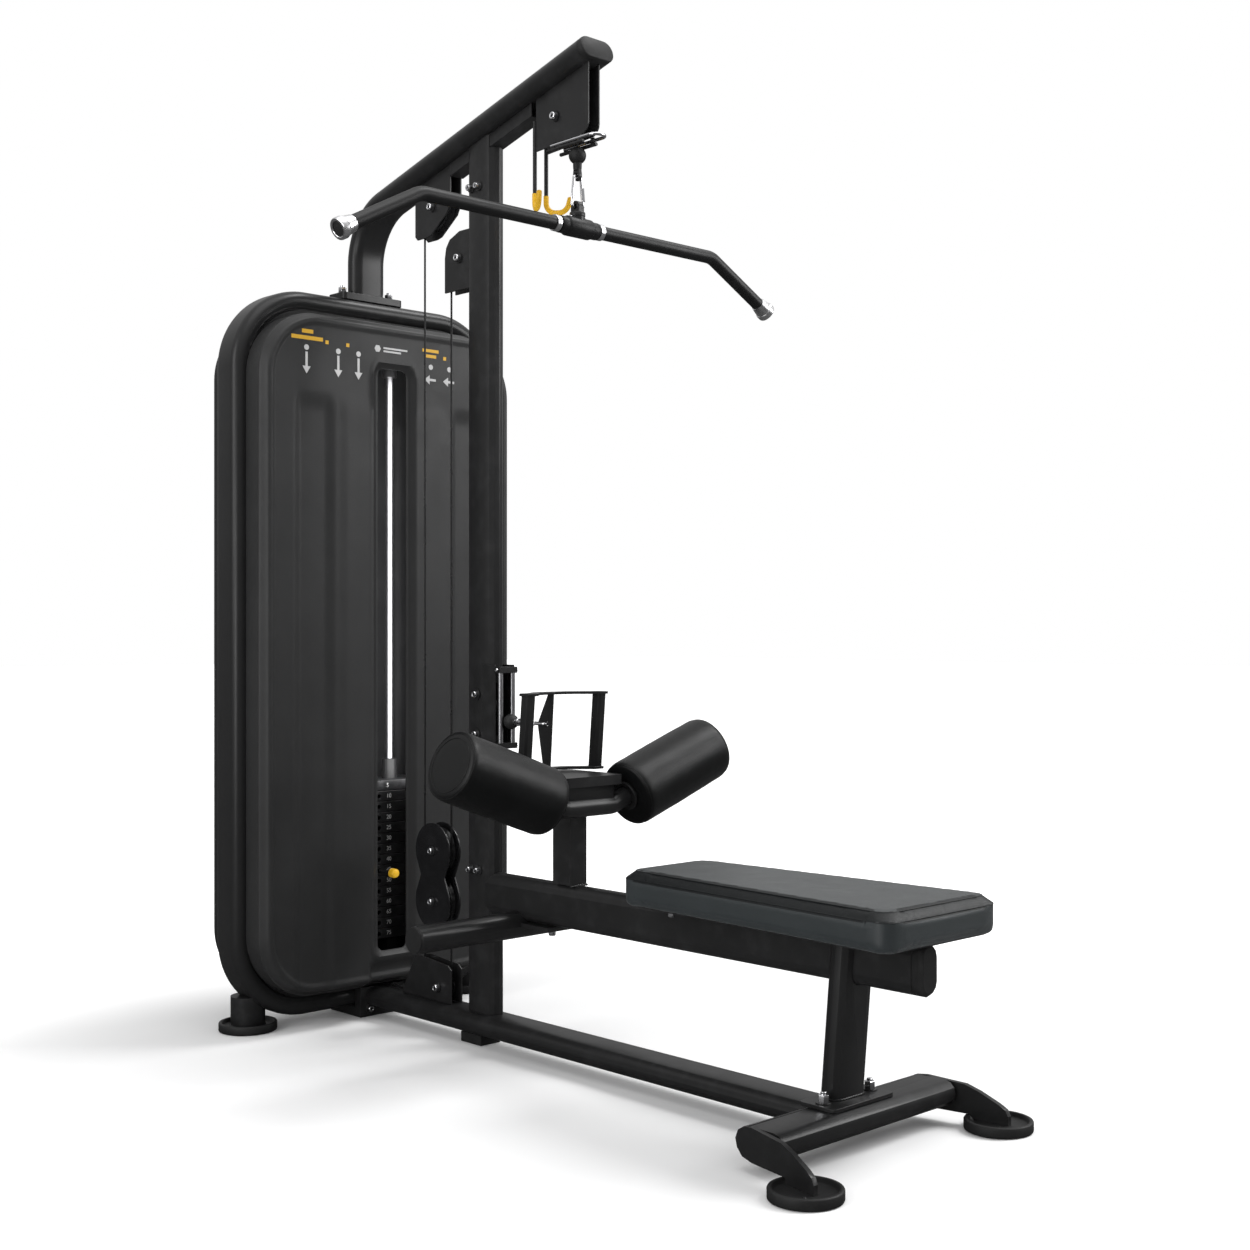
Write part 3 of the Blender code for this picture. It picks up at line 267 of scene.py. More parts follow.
def piece(name, mat, body, *builds, angle=35.0, bevel=0.0, segs=2, replaces=(), slot=None):
    bm = bmesh.new()
    for b in builds:
        b(bm)
    ob = finish_piece(name, bm, mat, body, angle)
    if bevel:
        add_bevel(ob, bevel, segs)
    if replaces:
        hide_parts(*replaces)
    return ob


def add_bevel(ob, width, segs=2, angle=30.0):
    m = ob.modifiers.new("bevel", "BEVEL")
    m.width = width
    m.segments = segs
    m.limit_method = "ANGLE"
    m.angle_limit = math.radians(angle)
    m.harden_normals = True
    apply_mods(ob)


def apply_mods(ob):
    dg = bpy.context.evaluated_depsgraph_get()
    me = bpy.data.meshes.new_from_object(ob.evaluated_get(dg))
    ob.modifiers.clear()
    old = ob.data
    ob.data = me
    bpy.data.meshes.remove(old)


def clone(node, mat, bevel=0.0012, name=None, angle=35.0, segs=2):
    """A shown copy of a CAD node: welded, softened edges, smooth shading."""
    src = NODES[node]
    me = src.data.copy()
    bm = bmesh.new()
    bm.from_mesh(me)
    bmesh.ops.remove_doubles(bm, verts=bm.verts, dist=2e-5)
    bmesh.ops.dissolve_limit(bm, angle_limit=math.radians(1.0), verts=bm.verts, edges=bm.edges)
    bmesh.ops.recalc_face_normals(bm, faces=bm.faces)
    bm.to_mesh(me)
    bm.free()
    me.shade_smooth()
    me.set_sharp_from_angle(angle=math.radians(angle))
    me.materials.clear()
    me.materials.append(mat)
    ob = bpy.data.objects.new(name or node + "_skin", me)
    bpy.context.scene.collection.objects.link(ob)
    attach(ob, BODY_OF[node])
    if bevel:
        add_bevel(ob, bevel, segs)
    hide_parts(node)
    return ob


def add_rings(bm, rings, mode="caps"):
    vs = [[bm.verts.new(p) for p in r] for r in rings]
    n = len(vs[0])
    pairs = list(zip(vs[:-1], vs[1:]))
    if mode == "loop":
        pairs.append((vs[-1], vs[0]))
    for a, b in pairs:
        for i in range(n):
            j = (i + 1) % n
            bm.faces.new((a[i], a[j], b[j], b[i]))
    if mode == "caps":
        bm.faces.new(list(reversed(vs[0])))
        bm.faces.new(vs[-1])


def flat_oval(length, short, n=14):
    r = short / 2.0
    c = (length - short) / 2.0
    pts = []
    for k in range(n + 1):
        a = -math.pi / 2 + math.pi * k / n
        pts.append((c + r * math.cos(a), r * math.sin(a)))
    for k in range(n + 1):
        a = math.pi / 2 + math.pi * k / n
        pts.append((-c + r * math.cos(a), r * math.sin(a)))
    return pts


def circle(r, n):
    return [(r * math.cos(2 * math.pi * k / n), r * math.sin(2 * math.pi * k / n)) for k in range(n)]


def fillet(points, radii, seg=8):
    pts = [Vector(p) for p in points]
    out = [pts[0]]
    for i in range(1, len(pts) - 1):
        p = pts[i]
        a = (pts[i - 1] - p).normalized()
        b = (pts[i + 1] - p).normalized()
        ang = a.angle(b)
        r = radii[i - 1] if isinstance(radii, (list, tuple)) else radii
        if r <= 0 or ang > math.pi - 1e-4:
            out.append(p)
            continue
        d = r / math.tan(ang / 2)
        h = r / math.sin(ang / 2)
        c = p + (a + b).normalized() * h
        s = p + a * d - c
        e = p + b * d - c
        tot = s.angle(e)
        for k in range(seg + 1):
            t = k / seg
            out.append(c + (s * math.sin((1 - t) * tot) + e * math.sin(t * tot)) / math.sin(tot))
    out.append(pts[-1])
    return out


def sweep_rings(path, profile, normal, scales=None, closed=False, ends=None):
    N = Vector(normal).normalized()
    path = [Vector(p) for p in path]
    n = len(path)
    rings = []
    for i, p in enumerate(path):
        if closed:
            t = (path[(i + 1) % n] - path[i]).normalized() + (path[i] - path[i - 1]).normalized()
        elif i == 0:
            t = path[1] - path[0]
        elif i == n - 1:
            t = path[-1] - path[-2]
        else:
            t = (path[i + 1] - path[i]).normalized() + (path[i] - path[i - 1]).normalized()
        if ends and i == 0 and ends[0]:
            t = Vector(ends[0])
        if ends and i == n - 1 and ends[1]:
            t = Vector(ends[1])
        t.normalize()
        s = t.cross(N).normalized()
        k = scales[i] if scales else 1.0
        rings.append([p + N * (a * k) + s * (b * k) for a, b in profile])
    return rings


def tube(path, r, normal, n=16, scales=None, closed=False, ends=None):
    prof = circle(r, n)
    if closed:
        return lambda bm: add_rings(bm, sweep_rings(path, prof, normal, None, True), "loop")
    return lambda bm: add_rings(bm, sweep_rings(path, prof, normal, scales, ends=ends))


def arc(cy, cz, r, a0, a1, n, x=0.0):
    return [(x, cy + r * math.cos(math.radians(a0 + (a1 - a0) * k / n)),
             cz + r * math.sin(math.radians(a0 + (a1 - a0) * k / n))) for k in range(n + 1)]


def box(x0, x1, y0, y1, z0, z1):
    return lambda bm: add_rings(bm, [[(x0, y0, z), (x1, y0, z), (x1, y1, z), (x0, y1, z)] for z in (z0, z1)])


def prism(outline, lo, hi, axis="X"):
    def put(a, b, c):
        return {"X": (c, a, b), "Y": (a, c, b), "Z": (a, b, c)}[axis]
    return lambda bm: add_rings(bm, [[put(a, b, c) for a, b in outline] for c in (lo, hi)])


AX = {"X": (1, 0, 0), "Y": (0, 1, 0), "Z": (0, 0, 1), "-X": (-1, 0, 0), "-Y": (0, -1, 0), "-Z": (0, 0, -1)}


def turned(profile, centre, axis, n=40, closed=False):
    """Turned piece from (radius, height) pairs."""
    def build(bm):
        ax = Vector(AX[axis] if isinstance(axis, str) else axis).normalized()
        u = ax.orthogonal().normalized()
        w = ax.cross(u)
        c = Vector(centre)
        rows = []
        for r, h in profile:
            if r < 1e-9:
                rows.append([bm.verts.new(c + ax * h)])
            else:
                rows.append([bm.verts.new(c + ax * h + (u * math.cos(2 * math.pi * k / n)
                                                        + w * math.sin(2 * math.pi * k / n)) * r)
                             for k in range(n)])
        pairs = list(zip(rows[:-1], rows[1:]))
        if closed:
            pairs.append((rows[-1], rows[0]))
        for a, b in pairs:
            for k in range(n):
                j = (k + 1) % n
                if len(a) == 1 and len(b) == 1:
                    continue
                if len(a) == 1:
                    bm.faces.new((a[0], b[j], b[k]))
                elif len(b) == 1:
                    bm.faces.new((a[k], a[j], b[0]))
                else:
                    bm.faces.new((a[k], a[j], b[j], b[k]))
    return build


def round_rect(xh, z0, z1, r, n=10, xl=None):
    xl = -xh if xl is None else xl
    pts = []
    for cx, cz, a0 in ((xh - r, z1 - r, 0), (xl + r, z1 - r, 90), (xl + r, z0 + r, 180), (xh - r, z0 + r, 270)):
        for k in range(n + 1):
            a = math.radians(a0 + 90.0 * k / n)
            pts.append((cx + r * math.cos(a), cz + r * math.sin(a)))
    return pts


def boolean(ob, other, op="DIFFERENCE"):
    m = ob.modifiers.new("bool", "BOOLEAN")
    m.operation = op
    m.object = other
    m.solver = "EXACT"
    apply_mods(ob)
    bpy.data.objects.remove(other, do_unlink=True)


def cutter(build):
    bm = bmesh.new()
    build(bm)
    ob = finish_piece("cutter_tmp", bm, HOLE_SHADE, None)
    return ob


COUNT = {}


def uniq(base):
    COUNT[base] = COUNT.get(base, 0) + 1
    return "%s_%02d" % (base, COUNT[base])


def bolt(centre, axis, body, r=0.0085, h=0.0080, washer=0.0125, mat=None, black_washer=True, kind="button", tw=0.0022):
    """A bolt head on its washer, seated on a face at centre and pointing along axis."""
    t = tw
    c = Vector(centre)
    a = Vector(AX[axis] if isinstance(axis, str) else axis).normalized()
    piece(uniq("washer"), STEEL if black_washer else ZINC, body,
          turned([(0, -0.0002), (washer, -0.0002), (washer, t * 0.75), (washer - 0.0006, t), (0, t)], c, a, 28))
    if kind == "button":
        prof = [(0.0, t - 0.0002), (r, t - 0.0002), (r, t + h * 0.55), (r * 0.95, t + h * 0.82),
                (r * 0.80, t + h), (r * 0.52, t + h), (r * 0.48, t + h * 0.96)]
        piece(uniq("bolt"), mat or CHROME, body, turned(prof + [(r * 0.46, t + h * 0.55), (0.0, t + h * 0.50)], c, a, 28), angle=50)
        # Near-black disc set in the socket: painted shade for the hole.
        piece(uniq("socket_shade"), HOLE_SHADE, body, turned([(0.0, t + h * 0.45), (r * 0.45, t + h * 0.45), (r * 0.45, t + h * 0.60), (0.0, t + h * 0.60)], c, a, 6))
    else:
        hexp = [(0.0, t - 0.0002), (r * 1.10, t - 0.0002), (r * 1.15, t + 0.0006), (r * 1.15, t + h - 0.0008),
                (r * 1.02, t + h), (0.0, t + h)]
        piece(uniq("nut"), mat or CHROME, body, turned(hexp, c, a, 6), bevel=0.0004)
        piece(uniq("stud"), mat or CHROME, body, turned([(0.0, t + h - 0.001), (r * 0.60, t + h - 0.001), (r * 0.60, t + h + 0.004),
                                                         (r * 0.50, t + h + 0.0050), (0.0, t + h + 0.0050)], c, a, 20))


def weld(points, normal, body="frame", r=0.0026, closed=False):
    """A rippled weld bead along a path."""
    pts = [Vector(p) for p in points]
    fine = []
    m = len(pts) if closed else len(pts) - 1
    for i in range(m):
        a, b = pts[i], pts[(i + 1) % len(pts)]
        k = max(1, int((b - a).length / 0.0022))
        fine += [a.lerp(b, j / k) for j in range(k)]
    if not closed:
        fine.append(pts[-1])
    N = Vector(normal).normalized()
    prof = circle(r, 8)
    rings = []
    n = len(fine)
    for i, p in enumerate(fine):
        t = (fine[(i + 1) % n] - fine[i - 1]) if closed else (fine[min(i + 1, n - 1)] - fine[max(i - 1, 0)])
        t.normalize()
        s = t.cross(N)
        if s.length < 0.05:
            s = t.cross(Vector((0.3, 0.5, 0.8)))
        s.normalize()
        q = t.cross(s)
        k = 0.90 + 0.16 * math.sin(i * 1.9)
        rings.append([p + q * (x * k) + s * (y * k) for x, y in prof])
    piece(uniq("weld"), STEEL, body, lambda bm: add_rings(bm, rings, "loop" if closed else "caps"), angle=70)


# ------------------------------------------------------------------ dimensions shared with the CAD
TW_Y, TUBE_L, TUBE_S = 1.735, 0.100, 0.050
TW_HALF, TW_Z0, TW_Z1, TW_R = 0.414, 0.025, 1.830, 0.180
COVER_HALF, COVER_Z0, COVER_Z1, COVER_FACE_Y, COVER_T, COVER_R = 0.384, 0.085, 1.765, 1.605, 0.0035, 0.160
REAR_Y = 1.865
BOOM_Y0, BOOM_ZC0, BOOM_SLOPE, BOOM_R = 0.862, 2.270, -0.258, 0.150
UP_Y = 1.2395
RAIL_Z0, RAIL_Z1 = 0.311, 0.413
RAIL_ZC = (RAIL_Z0 + RAIL_Z1) / 2
BAR_Y, BAR_Z = 0.914, 1.888
P_R, P_RO, P_W = 0.0535, 0.0565, 0.012
S_R, S_RO, S_W = 0.0300, 0.0330, 0.010
FRONT_P = (BAR_Y + P_R, 2.146)
REAR_P, UP_P = (1.4265, 2.024), (1.3195, 1.882)
ROW_R, ROW_RO = 0.034, 0.037
ROW_P = (1.266 - ROW_R, 0.770 + ROW_R)
FLOAT_HI, FLOAT_LO = (1.4265, 0.442), (1.4265, 0.317)
BASE_P, TBASE_P = (1.373 + S_R, 0.110), (1.785, 0.110)
TTOP_R, TTOP_RO, TTOP_P = 0.040, 0.043, (1.775, 1.712)
ST_HALF, ST_Y0, ST_Y1, ST_Z0, ST_PITCH, ST_T = 0.160, 1.676, 1.794, 0.1896, 0.0272, 0.0262
N_REST, N_LIFT, ROD_X, ROD_R = 6, 8, 0.075, 0.010
SEL_Z = ST_Z0 + 6 * ST_PITCH + ST_T / 2
GAP = 0.0003


def boom_centre(y):
    return BOOM_ZC0 + BOOM_SLOPE * (y - BOOM_Y0)


BOOM_DROP = TUBE_S / 2 / math.cos(math.atan(BOOM_SLOPE))


def boom_under(y):
    return boom_centre(y) - BOOM_DROP - GAP


# ------------------------------------------------------------------ tower loop
for side, nm in ((-1, "left"), (1, "right")):
    xo = side * (TW_HALF - TUBE_S / 2)
    zt, zb = TW_Z1 - TUBE_S / 2, TW_Z0 + TUBE_S / 2
    path = fillet([(side * GAP / 2, TW_Y, zt), (xo, TW_Y, zt), (xo, TW_Y, zb), (side * GAP / 2, TW_Y, zb)], TW_R, 26)
    loop = piece("tower_loop_" + nm, STEEL, "frame",
                 lambda bm, p=path: add_rings(bm, sweep_rings(p, flat_oval(TUBE_L, TUBE_S, 16), (0, 1, 0))),
                 replaces=("tower_frame_" + nm,))
    piece("tower_post_" + nm, STEEL, "frame",
          turned([(0, 0.0123), (0.0415, 0.0123), (0.042, 0.0130), (0.042, 0.085), (0, 0.085)],
                 (side * 0.340, 1.749, 0), "Z", 48), slot="tower_frame_" + nm)

# Dark strips just inside the tube's faces fill the gap between tube and covers: painted shade in the gap.
for side, nm in ((-1, "left"), (1, "right")):
    gp_ = fillet([(side * 0.012, 1.691, 0.0870), (side * 0.3525, 1.691, 0.0870), (side * 0.3525, 1.691, 1.7655),
                  (side * 0.0002, 1.691, 1.7655)], 0.146, 18)
    for yy in (0.0, 0.088):
        pp_ = [q + Vector((0, yy, 0)) for q in gp_]
        if yy > 0:
            pp_[0].x = side * 0.050
        piece(uniq("loop_gap_shade"), GAP_SHADE_STEEL, "frame",
              lambda bm, p=pp_: add_rings(bm, sweep_rings(p, [(-0.00125, -0.0165), (0.00125, -0.0165), (0.00125, 0.0165),
                                                              (-0.00125, 0.0165)], (0, 1, 0))), slot="tower_frame_" + nm)

# ------------------------------------------------------------------ covers


def smooth(a, b, x):
    t = min(1.0, max(0.0, (x - a) / (b - a)))
    return t * t * (3 - 2 * t)


def sd_round(x, z, hx, z0, z1, r):
    """Signed distance to a rounded rectangle, negative inside."""
    cz = (z0 + z1) / 2
    qx = abs(x) - hx + r
    qz = abs(z - cz) - (z1 - z0) / 2 + r
    return math.hypot(max(qx, 0), max(qz, 0)) + min(max(qx, qz), 0) - r


def face_relief(x, z):
    """How far the front cover's face stands back from its foremost plane."""
    d = -sd_round(x, z, COVER_HALF, COVER_Z0, COVER_Z1, COVER_R)
    y = 0.0
    y += 0.026 * (1 - smooth(0.0, 0.022, d)) ** 2           # rolled outer edge
    y += 0.0035 * smooth(0.026, 0.032, d)                   # step inside the rim
    ax = abs(x)
    down = 1 - smooth(1.520, 1.575, z)                      # the panels start under the header
    low = smooth(0.135, 0.175, z)
    panel = down
    trough = smooth(0.176, 0.206, ax) * (1 - smooth(0.272, 0.300, ax))
    y += 0.0075 * trough * panel
    band = smooth(0.066, 0.078, ax) * (1 - smooth(0.140, 0.170, ax))
    y -= 0.0020 * band * panel
    # rim and recess of the slot
    s = sd_round(x, z, 0.0620, 0.161, 1.660, 0.030)
    y -= 0.0030 * math.exp(-((s - 0.006) / 0.0045) ** 2)
    y += 0.0100 * (1 - smooth(-0.012, 0.001, s))
    # slanted facet from the slot down to the lower edge
    foot = 1 - smooth(0.128, 0.156, z)
    y += 0.013 * foot * (1 - smooth(0.060, 0.085, ax))
    return y


def cover_columns(step, half):
    n = int(round(half / step))
    return [(-1 + k / n) for k in range(2 * n + 1)]


def cover_mesh(name, mat, relief, face_y, back_y, sign, zstep=0.0075, nu=150):
    """Closed shell: a relief face on rows of width w(z), a side wall and an inner skin."""
    rows = []
    z = COVER_Z0
    zs = []
    # finer rows near the ends, where the outline turns
    k = 0
    total = COVER_Z1 - COVER_Z0
    ends = [0, .0004, .0015, .0035, .006, .009, .0125, .0165, .021, .026, .0315, .0375, .044, .051, .0585, .0665,
            .075, .084, .0935, .1035, .114, .125, .1365, .1485, .161]
    zs = [COVER_Z0 + e for e in ends]
    m = int((total - 2 * ends[-1]) / zstep)
    zs += [COVER_Z0 + ends[-1] + (total - 2 * ends[-1]) * (j + 1) / m for j in range(m - 1)]
    zs += [COVER_Z1 - e for e in reversed(ends)]
    # columns are denser near the edges
    us = []
    for i in range(nu + 1):
        t = -1 + 2 * i / nu
        us.append(math.copysign(1 - (1 - abs(t)) ** 1.35, t))

    def width(z):
        dz = max(0.0, COVER_Z0 + COVER_R - z, z - (COVER_Z1 - COVER_R))
        return COVER_HALF - COVER_R + math.sqrt(max(0.0, COVER_R ** 2 - dz ** 2))
    bm = bmesh.new()
    outer, inner = [], []
    for z in zs:
        w = width(z)
        outer.append([bm.verts.new((u * w, face_y + sign * relief(u * w, z), z)) for u in us])
        inner.append([bm.verts.new((u * (w - COVER_T), face_y + sign * (relief(u * w, z) + COVER_T + 0.0005),
                                    z + COVER_T * (COVER_Z0 - z + total / 2) / (total / 2))) for u in us])

    def skin(grid):
        for a, b in zip(grid[:-1], grid[1:]):
            for i in range(len(us) - 1):
                bm.faces.new((a[i], a[i + 1], b[i + 1], b[i]))
    skin(outer)
    skin(inner)

    def rim(grid):
        r = [g for g in grid[0]]
        r += [row[-1] for row in grid[1:]]
        r += list(reversed(grid[-1][:-1]))
        r += [row[0] for row in reversed(grid[1:-1])]
        return r
    ro, ri = rim(outer), rim(inner)
    levels = [0.25, 0.5, 0.75, 1.0]
    chain = [ro]
    for lv in levels:
        chain.append([bm.verts.new((v.co.x, v.co.y + (back_y - v.co.y) * lv, v.co.z)) for v in ro])
    back_in = [bm.verts.new((v.co.x, back_y, v.co.z)) for v in ri]
    chain.append(back_in)
    chain.append(ri)
    n = len(ro)
    for a, b in zip(chain[:-1], chain[1:]):
        for i in range(n):
            j = (i + 1) % n
            bm.faces.new((a[i], a[j], b[j], b[i]))
    return bm


bm = cover_mesh("front_shroud", COVER, face_relief, COVER_FACE_Y, TW_Y - TUBE_L / 2 - 0.0006, 1)
shroud = finish_piece("front_shroud", bm, COVER, None, angle=40)
boolean(shroud, cutter(prism(round_rect(0.0450, 0.172, 1.648, 0.018, 8), 1.55, 1.668, "Y")))
shroud.data.shade_smooth()
shroud.data.set_sharp_from_angle(angle=math.radians(40))
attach(shroud, "frame")
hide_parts("front_cover")


def rear_relief(x, z):
    d = -sd_round(x, z, COVER_HALF, COVER_Z0, COVER_Z1, COVER_R)
    y = 0.030 * (1 - smooth(0.0, 0.026, d)) ** 2
    y += 0.0035 * smooth(0.030, 0.038, d)
    ax = abs(x)
    panel = (1 - smooth(1.520, 1.575, z)) * smooth(0.250, 0.300, z)
    y += 0.0060 * smooth(0.176, 0.206, ax) * (1 - smooth(0.272, 0.300, ax)) * panel
    y += 0.0040 * (1 - smooth(0.090, 0.115, ax)) * panel
    return y


bm = cover_mesh("rear_shroud", COVER_B, rear_relief, REAR_Y, TW_Y + TUBE_L / 2 + 0.0006, -1)
back = finish_piece("rear_shroud", bm, COVER_B, None, angle=40)
boolean(back, cutter(box(-0.0195, 0.0195, 1.770, 1.8325, 0.080, 0.095)))
back.data.shade_smooth()
back.data.set_sharp_from_angle(angle=math.radians(40))
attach(back, "frame")
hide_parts("rear_cover")
for sx in (-1, 1):
    for z in (0.32, 0.78, 1.24, 1.62):
        bolt((sx * 0.338, REAR_Y - 0.0036, z), "Y", "frame", r=0.0050, h=0.0030, washer=0.0075)

# ------------------------------------------------------------------ generic marks on the cover's header


def mark(name, mat, outline, y=None):
    pts = outline
    cx = sum(p[0] for p in pts) / len(pts)
    cz = sum(p[1] for p in pts) / len(pts)
    yy = COVER_FACE_Y + face_relief(cx, cz)
    piece(uniq(name), mat, "frame", prism(pts, yy - 0.0006, yy + 0.0002, "Y"), slot="front_cover")


def disc_outline(cx, cz, r, n=20):
    return [(cx + r * math.cos(2 * math.pi * k / n), cz + r * math.sin(2 * math.pi * k / n)) for k in range(n)]


def bar_mark(x0, x1, z0, z1, mat):
    mark("header_bar", mat, [(x0, z0), (x1, z0), (x1, z1), (x0, z1)])


bar_mark(-0.275, -0.243, 1.7090, 1.7185, PRINT_Y)
bar_mark(-0.305, -0.215, 1.6930, 1.7025, PRINT_Y)
bar_mark(0.088, 0.140, 1.7040, 1.7120, PRINT_Y)
bar_mark(0.098, 0.132, 1.6900, 1.6980, PRINT_Y)
mark("header_badge", PRINT_W, disc_outline(-0.052, 1.6955, 0.0095, 6))
bar_mark(-0.034, 0.040, 1.6965, 1.7010, PRINT_W)
bar_mark(-0.034, 0.020, 1.6885, 1.6930, PRINT_W)
for cx, down in ((-0.262, True), (-0.170, True), (-0.110, True), (0.115, False), (0.175, False)):
    zc = 1.6745 if down else 1.6660
    mark("header_dot", PRINT_W, disc_outline(cx, zc, 0.0068))
    if down:
        pts = [(cx - 0.0032, zc - 0.011), (cx - 0.0032, zc - 0.046), (cx - 0.0115, zc - 0.046), (cx, zc - 0.064),
               (cx + 0.0115, zc - 0.046), (cx + 0.0032, zc - 0.046), (cx + 0.0032, zc - 0.011)]
    else:
        pts = [(cx + 0.016, zc - 0.030), (cx - 0.004, zc - 0.030), (cx - 0.004, zc - 0.021), (cx - 0.020, zc - 0.033),
               (cx - 0.004, zc - 0.045), (cx - 0.004, zc - 0.036), (cx + 0.016, zc - 0.036)]
    mark("header_arrow", PRINT_W, pts)
for cx in (-0.203, -0.142, 0.160):
    mark("header_square", PRINT_Y, [(cx - 0.0045, 1.6885), (cx + 0.0045, 1.6885), (cx + 0.0045, 1.6975), (cx - 0.0045, 1.6975)])

# ------------------------------------------------------------------ feet


def foot(name, x, y, r):
    prof = [(0, 0.0), (r - 0.004, 0.0), (r - 0.0010, 0.0012), (r, 0.0035), (r, 0.0185), (r - 0.0012, 0.0208),
            (r - 0.0035, 0.0217), (r - 0.0070, 0.0215), (r - 0.0085, 0.0200), (r - 0.0100, 0.0140),
            (r - 0.0125, 0.0121), (0.020, 0.0120), (0, 0.0120)]
    piece(name + "_pad", RUBBER, "frame", turned(prof, (x, y, 0), "Z", 64), replaces=(name,), angle=50)
    for k in range(2):
        a = math.radians(35 + 180 * k)
        bolt((x + 0.034 * math.cos(a), y + 0.034 * math.sin(a), 0.0120), "Z", "frame", r=0.0035, h=0.0015,
             washer=0.0045, mat=STEEL)


foot("foot_front_left", -0.2930, 0.0, 0.068)
foot("foot_front_right", 0.2930, 0.0, 0.068)
foot("foot_rear_left", -0.340, 1.749, 0.071)
foot("foot_rear_right", 0.340, 1.749, 0.071)

# ------------------------------------------------------------------ welded frame parts kept from the CAD
for nd in ("base_rail", "base_bracket", "upright", "front_stabiliser", "seat_rail", "seat_post", "cable_channel",
           "rear_pulley_housing", "upright_pulley_housing", "bottom_pulley_bracket", "cable_spine",
           "row_outlet_bracket", "foot_brace", "knee_hold_frame"):
    clone(nd, STEEL, 0.0012)
clone("upright_foot", RUBBER, 0.0015)
clone("stack_bumpers", RUBBER, 0.0010)
clone("seat_rail_cap", RUBBER, 0.0015)
clone("floating_block", NYLON, 0.0012)

# boom
leg_z = boom_centre(TW_Y)
path = fillet([(0, BOOM_Y0, BOOM_ZC0), (0, TW_Y, leg_z), (0, TW_Y, 1.8475)], BOOM_R, 28)
piece("boom_tube", STEEL, "frame",
      lambda bm: add_rings(bm, sweep_rings(path, flat_oval(TUBE_L, TUBE_S, 16), (1, 0, 0))), replaces=("boom",))
piece("boom_flange", STEEL, "frame", prism(round_rect(0.092, TW_Y - 0.036, TW_Y + 0.036, 0.010, 6),
                                           TW_Z1 + GAP, 1.848, "Z"), bevel=0.0012, slot="boom")
s = Vector((0, -1, -BOOM_SLOPE)).normalized()
p0 = Vector((0, BOOM_Y0, BOOM_ZC0)) + s * GAP
cap_path = [p0, p0 + s * 0.0095, p0 + s * 0.0125, p0 + s * 0.0142, p0 + s * 0.0150]
piece("boom_cap", RUBBER, "frame",
      lambda bm: add_rings(bm, sweep_rings(cap_path, flat_oval(TUBE_L, TUBE_S, 16), (1, 0, 0),
                                           [1.0, 1.0, 0.985, 0.95, 0.90])), replaces=("boom_end_cap",), angle=50)
weld([(x, TW_Y + y, 1.8495) for x, y in flat_oval(TUBE_L + 0.002, TUBE_S + 0.002, 12)], (0, 0, 1), closed=True)

# ------------------------------------------------------------------ front pulley housing, loop guide and hooks
ty = boom_under
outline = [(1.036, ty(1.036)), (0.859, ty(0.859)), (0.859, 2.112), (0.8605, 2.104), (0.865, 2.0965), (0.872, 2.0905),
           (0.880, 2.0872), (1.036, 2.080)]
for sg, nm in ((-1, "left"), (1, "right")):
    ob = piece("front_cheek_" + nm, STEEL, "frame", prism(outline, min(sg * .014, sg * .018), max(sg * .014, sg * .018), "X"),
               bevel=0.0010, slot="front_pulley_housing")
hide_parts("front_pulley_housing")
piece("front_axle", ZINC, "frame", turned([(0, -0.0175), (0.005, -0.0175), (0.005, 0.0175), (0, 0.0175)],
                                          (0, *FRONT_P), "X", 20), slot="front_pulley_housing")
gp = fillet([(-0.020, 0.980, 2.0805), (-0.020, 0.834, 2.0810), (0.020, 0.834, 2.0810), (0.020, 0.980, 2.0805)], 0.0195, 12)
piece("loop_guide", CHROME, "frame", tube(gp, 0.0040, (0, 0, 1), 16), slot="front_pulley_housing", angle=60)
for sx in (-1, 1):
    piece(uniq("stop_rod"), STEEL, "frame", turned([(0, 0), (0.0036, 0), (0.0042, 0.0008), (0.0042, 0.121), (0.0036, 0.122), (0, 0.122)],
                                                   (sx * 0.020, 0.872, 2.0715), "Y", 16), slot="front_pulley_housing")
    for yy in (0.885, 0.975):
        piece(uniq("rod_tab"), STEEL, "frame", box(sx * 0.020 - 0.002, sx * 0.020 + 0.002, yy - 0.006, yy + 0.006, 2.070, 2.0875),
              bevel=0.0006, slot="front_pulley_housing")
    d = Vector((sx * 0.51, -0.86, 0)).normalized()
    st = Vector((sx * 0.0172, 1.0405, 0))
    nrm = d.cross(Vector((0, 0, 1)))

    def at(u, z, st=st, d=d):
        q = st + d * u
        return Vector((q.x, q.y, z))
    hp = fillet([at(0, 2.150), at(0, 1.946), at(0.050, 1.9445), at(0.058, 1.976)], [0.024, 0.024], 14)
    piece(uniq("hook_rod"), STEEL, "frame", tube(hp, 0.0048, nrm, 14), slot="front_pulley_housing", angle=60)
    cov = [q for q in hp if q.z < 1.975]
    top = at(0, 1.985)
    cov = [top] + cov
    tip = hp[-1]
    tdir = (hp[-1] - hp[-2]).normalized()
    cov = cov[:-1] + [hp[-1], hp[-1] + tdir * 0.0022, hp[-1] + tdir * 0.0034]
    sc = [1.0] * (len(cov) - 3) + [1.0, 0.80, 0.35]
    piece(uniq("hook_sleeve"), YELLOW, "frame", tube(cov, 0.0062, nrm, 18, sc), slot="front_pulley_housing", angle=60)

# ------------------------------------------------------------------ pulleys


